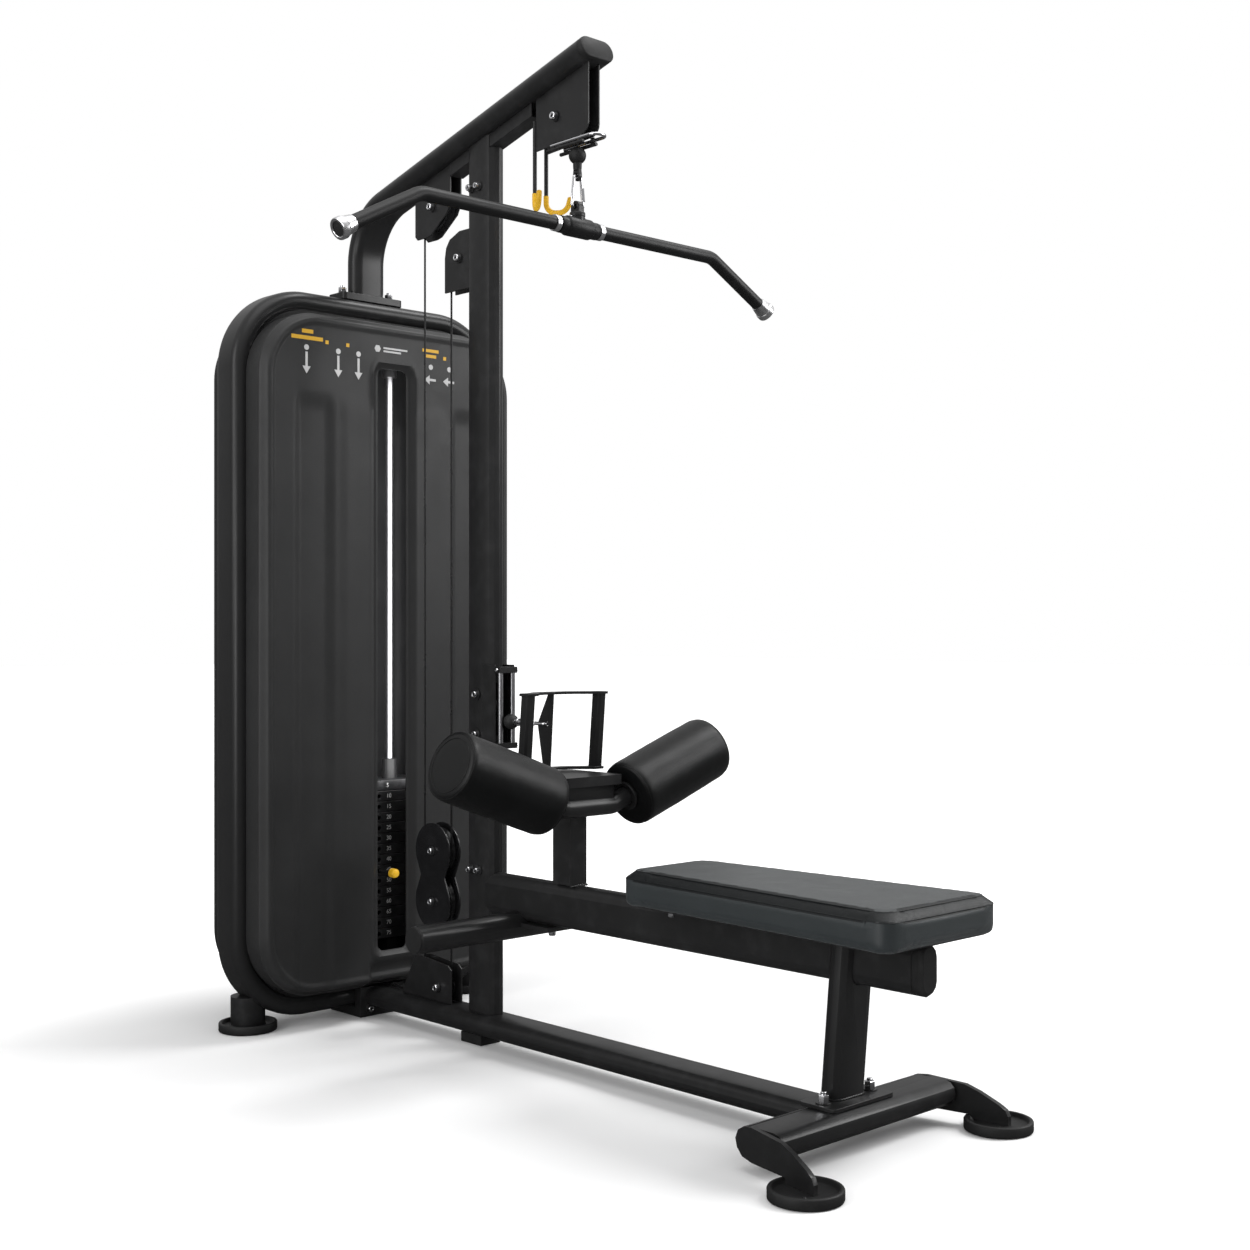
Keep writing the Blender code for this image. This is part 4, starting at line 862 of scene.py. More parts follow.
def pulley(node, yz, pitch, ro, w, groove):
    rg = pitch - groove
    hub = ro * 0.30
    prof = [(0.0056, -w), (hub, -w), (hub, -w + 0.0025), (ro - 0.010, -w + 0.0035), (ro - 0.008, -w + 0.0008),
            (ro - 0.0012, -w), (ro, -w + 0.0012), (ro - 0.0004, -w + 0.0030), (rg + 0.0012, -0.0036), (rg, -0.0018),
            (rg, 0.0018), (rg + 0.0012, 0.0036), (ro - 0.0004, w - 0.0030), (ro, w - 0.0012), (ro - 0.0012, w),
            (ro - 0.008, w - 0.0008), (ro - 0.010, w - 0.0035), (hub, w - 0.0025), (hub, w), (0.0056, w)]
    c = (0.0, yz[0], yz[1])
    body = BODY_OF[node]
    piece(node + "_wheel", NYLON, body, turned(prof, c, "X", 56, closed=True), replaces=(node,), angle=40)
    if ro > 0.05:
        for sg in (-1, 1):
            for k in range(5):
                a = 2 * math.pi * k / 5
                rr = ro * 0.56
                # Near-black discs on the wheel's sides stand in for its holes: painted shade.
                piece(uniq("wheel_hole_shade"), HOLE_SHADE, body,
                      turned([(0, 0), (0.0075, 0), (0.0075, 0.0004), (0, 0.0004)],
                             (sg * (w - 0.0030), yz[0] + rr * math.cos(a), yz[1] + rr * math.sin(a)),
                             "X" if sg > 0 else "-X", 20), slot=node)
    for sg in (-1, 1):
        piece(uniq("bearing"), ZINC, body, turned([(0.0058, 0), (hub * 0.72, 0), (hub * 0.72, 0.0006), (0.0058, 0.0006)],
                                                  (sg * w, yz[0], yz[1]), "X" if sg > 0 else "-X", 28, closed=True), slot=node)


for nd, yz, a_, b_, c_, g_ in (("pulley_front", FRONT_P, P_R, P_RO, P_W, .0045), ("pulley_rear", REAR_P, P_R, P_RO, P_W, .0045),
                               ("pulley_upright", UP_P, P_R, P_RO, P_W, .0045), ("pulley_float_upper", FLOAT_HI, P_R, P_RO, P_W, .0045),
                               ("pulley_float_lower", FLOAT_LO, P_R, P_RO, P_W, .0045), ("pulley_row", ROW_P, ROW_R, ROW_RO, .008, .0038),
                               ("pulley_base", BASE_P, S_R, S_RO, S_W, .0038), ("pulley_tower_base", TBASE_P, S_R, S_RO, S_W, .0038),
                               ("pulley_tower_top", TTOP_P, TTOP_R, TTOP_RO, S_W, .0038)):
    pulley(nd, yz, a_, b_, c_, g_)

for sg in (-1, 1):
    ax = "X" if sg > 0 else "-X"
    for yz in (FRONT_P, REAR_P, UP_P, BASE_P):
        bolt((sg * 0.018, *yz), ax, "frame", r=0.0095, h=0.0085, washer=0.0125, tw=0.0045)
    for yz in (FLOAT_HI, FLOAT_LO):
        bolt((sg * 0.018, *yz), ax, "floating_block", r=0.0088, h=0.0075, washer=0.0115, tw=0.0035)

# ------------------------------------------------------------------ bolts on the frame
for sg in (-1, 1):
    ax = "X" if sg > 0 else "-X"
    for z in (0.832, 0.737):
        bolt((sg * 0.0252, 1.241, z), ax, "frame", r=0.0086, h=0.0085, washer=0.0130, tw=0.0045)
    for z in (0.415, 2.038):
        for y in (1.233, 1.262):
            bolt((sg * 0.0252, y, z), ax, "frame", r=0.0080, h=0.0110, washer=0.0115, tw=0.0040)
    bolt((sg * 0.070, 0.145, 0.0930), "Z", "frame", r=0.0095, h=0.0150, washer=0.0150, kind="nut")
    bolt((sg * 0.072, TW_Y, 1.848), "Z", "frame", r=0.0092, h=0.0150, washer=0.0140, kind="nut")
    bolt((sg * 0.040, 1.660, 0.020), "-Y", "frame", r=0.0085, h=0.0075, washer=0.0120)
    bolt((sg * 0.0270, 1.163, 0.8912), ax, "frame", r=0.0040, h=0.0030, washer=0.0055)
    bolt((sg * 0.0270, 1.163, 0.7132), ax, "frame", r=0.0040, h=0.0030, washer=0.0055)
    for y in (0.070, 0.540):
        bolt((sg * 0.078, y, 0.4070), "-Z", "frame", r=0.0080, h=0.0085, washer=0.0110)
bolt((0, 1.085, 0.3010), "-Z", "frame", r=0.0085, h=0.0110, washer=0.0125)
bolt((0, 1.000, 0.3010), "-Z", "frame", r=0.0085, h=0.0110, washer=0.0125)
bolt((0, 1.480, 0.1605), "Z", "frame", r=0.0055, h=0.0070, washer=0.0080)
for sx in (-1, 1):
    piece(uniq("outlet_rod"), ROD_D, "frame", turned([(0, 0.7195), (0.0064, 0.7195), (0.0064, 0.8845), (0, 0.8845)],
                                                      (sx * 0.018, 1.163, 0), "Z", 24), slot="row_outlet_bracket")
# brace ends
for sx in (-1, 1):
    piece(uniq("brace_cap"), RUBBER, "frame",
          turned([(0, 0.3155), (0.0265, 0.3155), (0.0290, 0.3165), (0.0285, 0.3178), (0.0260, 0.3182), (0.0, 0.3184)],
                 (0, 1.100, 0.303), "X" if sx > 0 else "-X", 40), slot="foot_brace", angle=50)

# ------------------------------------------------------------------ weight stack
for sx, nd in ((-1, "stack_guide_rod_left"), (1, "stack_guide_rod_right")):
    piece(nd + "_polished", ROD_D, "frame",
          turned([(0, TW_Z0 + TUBE_S + GAP), (ROD_R, TW_Z0 + TUBE_S + GAP), (ROD_R, TW_Z1 - TUBE_S - GAP),
                  (0, TW_Z1 - TUBE_S - GAP)], (sx * ROD_X, TW_Y, 0), "Z", 40), replaces=(nd,))
    piece(uniq("rod_collar"), STEEL, "frame",
          turned([(ROD_R + 0.0002, 1.648), (0.0185, 1.648), (0.0185, 1.668), (ROD_R + 0.0002, 1.668)],
                 (sx * ROD_X, TW_Y, 0), "Z", 32, closed=True), bevel=0.0008, slot=nd)


def plate(k, body, node_name, rep):
    z0 = ST_Z0 + k * ST_PITCH
    ob = piece("stack_plate_%02d" % (15 - k), IRON, None, box(-ST_HALF, ST_HALF, ST_Y0, ST_Y1, z0, z0 + ST_T), slot=node_name)
    for x, r in ((-ROD_X, 0.0115), (ROD_X, 0.0115), (0.0, 0.0135)):
        boolean(ob, cutter(turned([(0, z0 - 0.01), (r, z0 - 0.01), (r, z0 + ST_T + 0.01), (0, z0 + ST_T + 0.01)],
                                  (x, TW_Y, 0), "Z", 24)))
    boolean(ob, cutter(turned([(0, 1.60), (0.0056, 1.60), (0.0056, 1.735), (0, 1.735)], (0, 0, z0 + ST_T / 2), "Y", 20)))
    add_bevel(ob, 0.0014, 2)
    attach(ob, body)
    if rep:
        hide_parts(rep)
    return ob


for k in range(N_REST):
    plate(k, "frame", "weight_plates_resting", "weight_plates_resting" if k == 0 else None)
for k in range(N_REST, N_REST + N_LIFT):
    plate(k, "stack", "weight_plates_lifted", "weight_plates_lifted" if k == N_REST else None)

TOP_Z0 = ST_Z0 + (N_REST + N_LIFT) * ST_PITCH
TOP_Z1 = TOP_Z0 + ST_T
top = piece("stack_plate_top", IRON, None, box(-ST_HALF, ST_HALF, ST_Y0, ST_Y1, TOP_Z0, TOP_Z1), slot="weight_top_plate")
for x, r in ((-ROD_X, 0.0115), (ROD_X, 0.0115)):
    boolean(top, cutter(turned([(0, TOP_Z0 - 0.01), (r, TOP_Z0 - 0.01), (r, TOP_Z1 + 0.01), (0, TOP_Z1 + 0.01)], (x, TW_Y, 0), "Z", 24)))
add_bevel(top, 0.0016, 2)
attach(top, "stack")
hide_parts("weight_top_plate")
for sx in (-1, 1):
    piece(uniq("stack_bushing"), STEEL, "stack",
          turned([(0.0115, TOP_Z1 - 0.001), (0.0195, TOP_Z1 - 0.001), (0.0195, 0.6465), (0.0180, 0.648), (0.0115, 0.648)],
                 (sx * ROD_X, TW_Y, 0), "Z", 36, closed=True), slot="weight_top_plate")
piece("stack_stem", ZINC, "stack",
      turned([(0, 0.198), (0.0095, 0.198), (0.011, 0.200), (0.011, TOP_Z1 - 0.002), (0.014, TOP_Z1 - 0.002), (0.014, 0.622),
              (0.0125, 0.6245), (0.008, 0.632), (0.008, 0.651), (0.0070, 0.652), (0, 0.652)], (0, TW_Y, 0), "Z", 32),
      slot="weight_top_plate")
# numerals on the plates and pin hole rings
for k in range(N_REST + N_LIFT + 1):
    body = "frame" if k < N_REST else "stack"
    z = ST_Z0 + k * ST_PITCH + ST_T / 2
    cu = bpy.data.curves.new("numeral", "FONT")
    cu.body = str(5 * (15 - k))
    cu.size = 0.0155
    cu.extrude = 0.0001
    cu.resolution_u = 3
    cu.align_x = "LEFT"
    cu.align_y = "CENTER"
    ob = bpy.data.objects.new("numeral_tmp", cu)
    bpy.context.scene.collection.objects.link(ob)
    dg = bpy.context.evaluated_depsgraph_get()
    me = bpy.data.meshes.new_from_object(ob.evaluated_get(dg))
    bpy.data.objects.remove(ob, do_unlink=True)
    num = bpy.data.objects.new("plate_number_%02d" % (15 - k), me)
    me.materials.clear()
    me.materials.append(PRINT_W)
    bpy.context.scene.collection.objects.link(num)
    num.rotation_euler = (math.radians(90), 0, 0)
    num.location = (0.0235, ST_Y0 - 0.0002 - Y0, z)
    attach(num, body)
    if k < N_REST + N_LIFT:
        piece(uniq("pin_ring"), IRON, body,
              turned([(0.0058, 0.0), (0.0098, 0.0), (0.0092, 0.0010), (0.0062, 0.0010)],
                     (0, ST_Y0 - 0.0001, z), "-Y", 28, closed=True),
              slot="weight_plates_resting" if k < N_REST else "weight_plates_lifted")

# selector pin
piece("pin_shank", CHROME, "selector_pin", turned([(0, 1.6235), (0.0043, 1.6235), (0.0043, 1.7450), (0.0033, 1.7465), (0, 1.7465)],
                                                  (0, 0, SEL_Z), "Y", 24), replaces=("selector_pin",))
piece("pin_knob", YELLOW, "selector_pin",
      turned([(0, 1.5998), (0.0060, 1.6000), (0.0092, 1.6012), (0.0112, 1.6035), (0.0118, 1.6070), (0.0112, 1.6110),
              (0.0118, 1.6150), (0.0118, 1.6190), (0, 1.6190)], (0, 0, SEL_Z), "Y", 36), slot="selector_pin", angle=50)
piece("pin_ring_chrome", CHROME, "selector_pin",
      turned([(0.0, 1.6188), (0.0124, 1.6188), (0.0128, 1.6200), (0.0128, 1.6230), (0.0120, 1.6240), (0, 1.6240)],
             (0, 0, SEL_Z), "Y", 36), slot="selector_pin")

# ------------------------------------------------------------------ lat bar
end = Vector((0.640, 0, 1.779))
bd = (end - Vector((0.436, 0, BAR_Z))).normalized()


def barpt(s, back):
    q = end - bd * back
    return (s * q.x, BAR_Y, q.z)


bar_path = fillet([barpt(-1, 0.034), (-0.436, BAR_Y, BAR_Z), (0.436, BAR_Y, BAR_Z), barpt(1, 0.034)], 0.055, 16)
piece("lat_bar_tube", BARC, "lat_bar", tube(bar_path, 0.0155, (0, 1, 0), 32), replaces=("lat_bar",), angle=60)
for s_ in (-1, 1):
    e = Vector((s_ * end.x, BAR_Y, end.z))
    a = Vector((s_ * bd.x, 0, bd.z))
    c0 = e - a * 0.040
    prof = [(0.0157, 0.0), (0.0172, 0.0003), (0.0176, 0.0015), (0.0206, 0.0205), (0.0208, 0.0220), (0.0198, 0.0228),
            (0.0198, 0.0242), (0.0222, 0.0252), (0.0232, 0.0268), (0.0232, 0.0372), (0.0226, 0.0390), (0.0214, 0.0398),
            (0.0170, 0.0398), (0.0160, 0.0390), (0.0158, 0.0360), (0.0, 0.0358)]
    piece(uniq("bar_end_cap"), SATIN, "lat_bar", turned([(0.0, 0.0)] + prof, c0, a, 48), slot="lat_bar", angle=30)
    piece(uniq("bar_end_plug"), RUBBER, "lat_bar", turned([(0, 0.0355), (0.0155, 0.0355), (0.0152, 0.0375), (0.0120, 0.0385), (0, 0.0386)],
                                                          c0, a, 32), slot="lat_bar", angle=50)
    piece(uniq("bar_collar"), SATIN, "lat_bar",
          turned([(0.0156, -0.0065), (0.0176, -0.0065), (0.0184, -0.0055), (0.0184, 0.0055), (0.0176, 0.0065), (0.0156, 0.0065)],
                 (s_ * 0.0655, BAR_Y, BAR_Z), "X", 40, closed=True), slot="lat_bar")

# swivel, link and ball
piece("swivel_sleeve", BARC, "bar_bail",
      turned([(0.0163, -0.056), (0.0185, -0.056), (0.0192, -0.055), (0.0192, -0.038), (0.0215, -0.0355), (0.0225, -0.033),
              (0.0225, 0.033), (0.0215, 0.0355), (0.0192, 0.038), (0.0192, 0.055), (0.0185, 0.056), (0.0163, 0.056)],
             (0, BAR_Y, BAR_Z), "X", 40, closed=True), replaces=("bar_swivel",), angle=40)
piece("swivel_neck", STEEL, "bar_bail", turned([(0, 1.900), (0.0165, 1.900), (0.0165, 1.912), (0.0178, 1.913), (0.0178, 1.9205), (0.0168, 1.922), (0, 1.922)],
                                               (0, BAR_Y, 0), "Z", 36), slot="bar_swivel")
tab = [(BAR_Y - 0.014, 1.920), (BAR_Y + 0.014, 1.920)] + \
      [(BAR_Y + 0.014 * math.cos(math.radians(a)), 1.934 + 0.0135 * math.sin(math.radians(a))) for a in range(0, 181, 15)]
tabob = piece("swivel_tab", STEEL, None, prism(tab, -0.0080, 0.0080, "X"), slot="bar_swivel")
boolean(tabob, cutter(turned([(0, -0.03), (0.0058, -0.03), (0.0058, 0.03), (0, 0.03)], (0, BAR_Y, 1.934), "X", 28)))
add_bevel(tabob, 0.0010, 2)
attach(tabob, "bar_bail")
for sg in (-1, 1):
    bolt((sg * 0.0172, BAR_Y, 1.9085), "X" if sg > 0 else "-X", "bar_bail", r=0.0052, h=0.0040, washer=0.0070, tw=0.0012)
lp = fillet([(0.0, BAR_Y, 1.934), (-0.0175, BAR_Y, 1.934), (-0.0098, BAR_Y, 2.0040), (0.0098, BAR_Y, 2.0040),
             (0.0175, BAR_Y, 1.934), (0.0, BAR_Y, 1.934)], 0.0055, 10)[:-1]
piece("snap_link", CHROME, "bar_bail", tube(lp, 0.0034, (0, 1, 0), 18, closed=True), replaces=("bail_link",), angle=60)
piece("snap_sleeve", CHROME, "bar_bail",
      tube([(0.0172, BAR_Y, 1.948), (0.0170, BAR_Y, 1.9495), (0.0155, BAR_Y, 1.9640), (0.0140, BAR_Y, 1.9785), (0.0139, BAR_Y, 1.980)],
           0.0048, (0, 1, 0), 6, [0.8, 1.0, 1.0, 1.0, 0.8]), slot="bail_link", angle=25)
BALL_Z = 2.050
prof = [(0, BALL_Z + 0.0197)] + [(0.0197 * math.sin(math.radians(a)), BALL_Z + 0.0197 * math.cos(math.radians(a)))
                                 for a in range(6, 152, 6)] + [(0.0100, BALL_Z - 0.0180), (0.0098, 2.022), (0.0088, 2.0165), (0, 2.0160)]
piece("stop_ball", RUBBER, "bar_hanger", turned(prof, (0, BAR_Y, 0), "Z", 40), replaces=("cable_ball",), angle=50)
eye = [(BAR_Y - 0.009, 2.020)] + [(BAR_Y + 0.0112 * math.cos(math.radians(a)), 2.004 + 0.0112 * math.sin(math.radians(a)))
                                  for a in range(165, 376, 15)] + [(BAR_Y + 0.009, 2.020)]
eyeob = piece("ball_eye", STEEL, None, prism(eye, -0.0045, 0.0045, "X"), slot="cable_ball")
boolean(eyeob, cutter(turned([(0, -0.02), (0.0062, -0.02), (0.0062, 0.02), (0, 0.02)], (0, BAR_Y, 2.0040), "X", 28)))
add_bevel(eyeob, 0.0010, 2)
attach(eyeob, "bar_hanger")

# ------------------------------------------------------------------ row end and handle
RB = (0.0, 1.1460, 0.770)
LINK_Y = 1.0165
prof = [(0, 0.018)] + [(0.018 * math.sin(math.radians(a)), 0.018 * math.cos(math.radians(a))) for a in range(6, 152, 6)] \
    + [(0.0088, -0.0160), (0, -0.0165)]
piece("row_stop_ball", RUBBER, "row_end", turned([(r, h) for r, h in prof], RB, "Y", 40), replaces=("row_ball",), angle=50)
piece("row_ferrule", CHROME, "row_end", turned([(0, -0.0150), (0.0088, -0.0150), (0.0092, -0.0160), (0.0092, -0.0285), (0.0080, -0.0300), (0, -0.0300)],
                                               RB, "Y", 32), slot="row_ball")
lk = fillet([(0.0, LINK_Y, RB[2]), (0.0088, LINK_Y, RB[2]), (0.0088, 1.1200, RB[2]), (-0.0088, 1.1200, RB[2]),
             (-0.0088, LINK_Y, RB[2]), (0.0, LINK_Y, RB[2])], 0.0080, 10)[:-1]
piece("row_snap_link", CHROME, "row_end", tube(lk, 0.0035, (0, 0, 1), 18, closed=True), slot="row_ball", angle=60)
piece("row_snap_sleeve", CHROME, "row_end", tube([(-0.0088, 1.050, RB[2]), (-0.0088, 1.0515, RB[2]), (-0.0088, 1.083, RB[2]), (-0.0088, 1.0845, RB[2])],
                                                 0.0050, (0, 0, 1), 6, [0.8, 1.0, 1.0, 0.8]), slot="row_ball", angle=25)
clone("row_handle", STEEL, 0.0012)

# ------------------------------------------------------------------ cables
CR = 0.0025


def cable(name, pts, body=None, ends=None, replaces=(), slot=None):
    return piece(name, CABLE, body, tube(pts, CR, (1, 0, 0), 12, ends=ends), replaces=replaces, slot=slot, angle=80)


def line(y0, z0, y1, z1, step=0.02):
    n = max(2, int(math.hypot(y1 - y0, z1 - z0) / step))
    return [(0, y0 + (y1 - y0) * k / n, z0 + (z1 - z0) * k / n) for k in range(n + 1)]


run = Vector((REAR_P[0] - FRONT_P[0], REAR_P[1] - FRONT_P[1])).normalized()
ru = math.degrees(math.atan2(run.x, -run.y))
UPV, DNV = (0, 0, 1), (0, 0, -1)
cable("cable_over_boom", arc(*FRONT_P, P_R, 180, ru, 24) + arc(*REAR_P, P_R, ru, 0, 24), "frame", (UPV, DNV), ("cable_boom_run",))
c = cable("cable_drop", line(BAR_Y, FRONT_P[1], BAR_Y, BALL_Z + 0.0190, 0.004), None, (DNV, DNV), ("cable_lat_drop",))
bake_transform(c)
cable("cable_down_upright", arc(*UP_P, P_R, 0, 180, 28) + arc(*ROW_P, ROW_R, 0, -90, 14), "frame", (UPV, (0, -1, 0)), ("cable_upright_run",))
c = cable("cable_row_end", line(ROW_P[0], RB[2], RB[1] + 0.0170, RB[2], 0.0015), None, ((0, -1, 0), (0, -1, 0)), slot="cable_upright_run")
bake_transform(c)
c = cable("cable_loop_rear", line(FLOAT_HI[0] + P_R, REAR_P[1], FLOAT_HI[0] + P_R, FLOAT_HI[1], 0.03), None, (DNV, DNV), ("cable_upper_loop",))
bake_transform(c)
c = cable("cable_loop_front", line(FLOAT_HI[0] - P_R, UP_P[1], FLOAT_HI[0] - P_R, FLOAT_HI[1], 0.03), None, (DNV, DNV), slot="cable_upper_loop")
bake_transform(c)
cable("cable_loop_bottom", arc(*FLOAT_HI, P_R, 0, -180, 24), "floating_block", (DNV, UPV), slot="cable_upper_loop")
c = cable("cable_anchor_leg", line(FLOAT_LO[0] + P_R, 0.1603, FLOAT_LO[0] + P_R, FLOAT_LO[1], 0.006), None, (UPV, UPV), ("cable_lower_loop",))
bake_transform(c)
c = cable("cable_base_leg", line(FLOAT_LO[0] - P_R, BASE_P[1], FLOAT_LO[0] - P_R, FLOAT_LO[1], 0.006), None, (UPV, UPV), slot="cable_lower_loop")
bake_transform(c)
cable("cable_loop_top", arc(*FLOAT_LO, P_R, 0, 180, 24), "floating_block", (UPV, DNV), slot="cable_lower_loop")
cable("cable_tower", arc(*BASE_P, S_R, 180, 270, 14) + arc(*TBASE_P, S_R, -90, 0, 14) + arc(*TTOP_P, TTOP_R, 0, 180, 24),
      "frame", (DNV, DNV), ("cable_tower_run",))
c = cable("cable_to_stack", line(TW_Y, 0.6515, TW_Y, TTOP_P[1], 0.02), None, (UPV, UPV), ("cable_stack",))
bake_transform(c)

# ------------------------------------------------------------------ seat pad


def pad_outline(inset, n=8, r=0.030):
    y0, y1 = -0.087 + inset, 0.645 - inset
    h0, h1 = 0.173 - inset, 0.129 - inset
    pts = []
    for cx, cy, a0 in ((h1 - r, y1 - r, 0), (-h1 + r, y1 - r, 90), (-h0 + r, y0 + r, 180), (h0 - r, y0 + r, 270)):
        for k in range(n + 1):
            a = math.radians(a0 + 90.0 * k / n)
            pts.append((cx + r * math.cos(a), cy + r * math.sin(a)))
    return pts


def seat_shape(shrink):
    lv = [(0.4143, 0.007), (0.4190, 0.0015), (0.4300, 0.0), (0.4715, 0.0), (0.4895, 0.0165)]
    return [[(x, y, z - (shrink if i == len(lv) - 1 else 0)) for x, y in pad_outline(ins + shrink)]
            for i, (z, ins) in enumerate(lv)]


bm = bmesh.new()
add_rings(bm, seat_shape(0.0022))
seat = finish_piece("seat_cushion", bm, SEAT, None)
m = seat.modifiers.new("remesh", "REMESH")
m.mode = "VOXEL"
m.voxel_size = 0.0036
apply_mods(seat)
rest = [v.co.copy() for v in seat.data.vertices]
cl = seat.modifiers.new("cloth", "CLOTH")
cl.settings.use_pressure = True
cl.settings.uniform_pressure_force = 3.0
cl.settings.tension_stiffness = 60
cl.settings.compression_stiffness = 40
cl.settings.effector_weights.gravity = 0.0
scn = bpy.context.scene
cl.point_cache.frame_start, cl.point_cache.frame_end = 1, 14
for f in range(1, 15):
    scn.frame_set(f)
dg = bpy.context.evaluated_depsgraph_get()
me = bpy.data.meshes.new_from_object(seat.evaluated_get(dg))
seat.modifiers.clear()
for v, q in zip(me.vertices, rest):
    d = v.co - q
    cap = 0.0022
    if q.z < 0.4175:
        d.z = max(d.z, 0.0)
    if d.length > cap:
        d *= cap / d.length
    v.co = q + d
old = seat.data
seat.data = me
bpy.data.meshes.remove(old)
scn.frame_set(1)
seat.data.shade_smooth()
seat.data.materials.clear()
seat.data.materials.append(SEAT)
seat.data.materials.append(SEAT_SEAM_AND_SHADE)
# Slanted faces round the top get the darker vinyl: painted shade on the turned edge.
for poly in seat.data.polygons:
    if 0.30 < poly.normal.z < 0.955 and poly.center.z > 0.465:
        poly.material_index = 1
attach(seat, "frame")
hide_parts("seat_pad")


def seam(name, pts, r, body, mat, slot_name, on):
    """Piping laid on the surface of another piece."""
    bm_ = bmesh.new()
    bm_.from_mesh(on.data)
    tree = BVHTree.FromBMesh(bm_)
    bm_.free()
    laid = []
    for q in pts:
        co_, no_, _, _ = tree.find_nearest(Vector((q[0], q[1] - Y0, q[2])))
        laid.append(Vector((co_.x, co_.y + Y0, co_.z)) - no_ * (r * 0.35))
    piece(name, mat, body, lambda bm: add_rings(bm, sweep_rings(laid, circle(r, 8), (0, 0, 1), closed=True), "loop"),
          slot=slot_name, angle=80)


seam("seat_seam_top", [(x, y, 0.4895) for x, y in pad_outline(0.0172, 12, 0.026)], 0.0013, "frame", SEAT_SEAM_AND_SHADE, "seat_pad", seat)
seam("seat_seam_side", [(x, y, 0.4712) for x, y in pad_outline(-0.001, 12)], 0.0012, "frame", SEAT_SEAM_AND_SHADE, "seat_pad", seat)
piece("seat_base_board", STEEL, "frame",
      prism([(x, y) for x, y in pad_outline(0.012)], 0.4139, 0.4155, "Z"), bevel=0.0005, slot="seat_pad")

# ------------------------------------------------------------------ knee rollers
ARM = math.radians(19.9)
ROLL_IN, ROLL_LEN = (0.121 - 0.0715) / math.cos(ARM), 0.2825
for sx, nd in ((-1, "knee_roller_left"), (1, "knee_roller_right")):
    ax = Vector((sx * math.cos(ARM), 0, math.sin(ARM)))
    c = Vector((sx * (0.0715 + ROLL_IN * math.cos(ARM)), 0.880, 0.591 + ROLL_IN * math.sin(ARM)))
    L = ROLL_LEN
    prof = [(0.0235, 0.250), (0.0235, 0.006), (0.0265, 0.0012), (0.0400, 0.0002), (0.0600, 0.0006), (0.0660, 0.0018),
            (0.0695, 0.0026), (0.0725, 0.0052), (0.0745, 0.0090), (0.0757, 0.0140)]
    for k in range(1, 24):
        t = k / 24
        prof.append((0.0757 + 0.0008 * math.sin(math.pi * t), 0.0140 + (L - 0.028) * t))
    prof += [(0.0757, L - 0.0140), (0.0745, L - 0.0090), (0.0725, L - 0.0052), (0.0697, L - 0.0030), (0.0690, L - 0.0036),
             (0.0680, L - 0.0028), (0.0600, L - 0.0012), (0.0400, L - 0.0003), (0.0200, L), (0.0, L)]

    def build(bm, prof=prof, c=c, ax=ax):
        turned(prof, c, ax, 72)(bm)
    ob = piece(nd + "_skin", ROLL, nd, build, replaces=(nd,), angle=70)
    for v in ob.data.vertices:
        p = Vector(v.co)
        q = p - Vector((c.x, c.y - Y0, c.z))
        h = q.dot(ax)
        rad = q - ax * h
        if rad.length > 0.060:
            wr = noise.noise(p * 34.0) * 0.00045 + noise.noise(p * 90.0) * 0.00018
            v.co = p + rad.normalized() * wr
    u = ax.cross(Vector((0, 1, 0))).normalized()
    w = Vector((0, 1, 0))
    disc = [c + ax * (L - 0.0013) + (u * math.cos(2 * math.pi * k / 64) + w * math.sin(2 * math.pi * k / 64)) * 0.0590 for k in range(64)]
    piece(nd + "_seam_disc", ROLL, nd, lambda bm, ring=disc, ax=ax: add_rings(bm, sweep_rings(ring, circle(0.0011, 8), ax, closed=True), "loop"),
          slot=nd, angle=80)
    for hh, nm in ((0.0052, "inner"), (L - 0.0052, "outer")):
        ring = [c + ax * hh + (u * math.cos(2 * math.pi * k / 72) + w * math.sin(2 * math.pi * k / 72)) * 0.0727 for k in range(72)]
        piece(nd + "_seam_" + nm, ROLL, nd, lambda bm, ring=ring, ax=ax: add_rings(bm, sweep_rings(ring, circle(0.0010, 8), ax, closed=True), "loop"),
              slot=nd, angle=80)
    seam_line = [c + ax * (0.012 + (L - 0.024) * k / 40) + (u * math.cos(2.6) + w * math.sin(2.6)) * (0.0757 + 0.0008 * math.sin(math.pi * k / 40))
                 for k in range(41)]
    piece(nd + "_seam_long", ROLL, nd, lambda bm, sl=seam_line, nn=(u * math.sin(2.6) - w * math.cos(2.6)): add_rings(bm, sweep_rings(sl, circle(0.0008, 8), nn)),
          slot=nd, angle=80)
    piece(nd + "_hub", RUBBER, "frame", turned([(0.0222, -0.0008), (0.0340, -0.0008), (0.0340, -0.0040), (0.0322, -0.0058), (0.0236, -0.0058), (0.0222, -0.0048)],
                                               c, ax, 40, closed=True), slot="knee_hold_frame", angle=40)

# ------------------------------------------------------------------ welds
weld([(x, 0.157 + y, 0.0945) for x, y in flat_oval(TUBE_L + 0.002, TUBE_S + 0.002, 12)], (0, 0, 1), closed=True)
weld([(0.0258, 0.909, 0.4115), (-0.0258, 0.909, 0.4115)], (0, 0, 1))
for sx in (-1, 1):
    weld([(sx * 0.0415 * math.cos(math.radians(a)) + sx * 0.340, 1.749 + 0.0415 * math.sin(math.radians(a)), 0.0135)
          for a in range(0, 360, 12)], (0, 0, 1), closed=True)

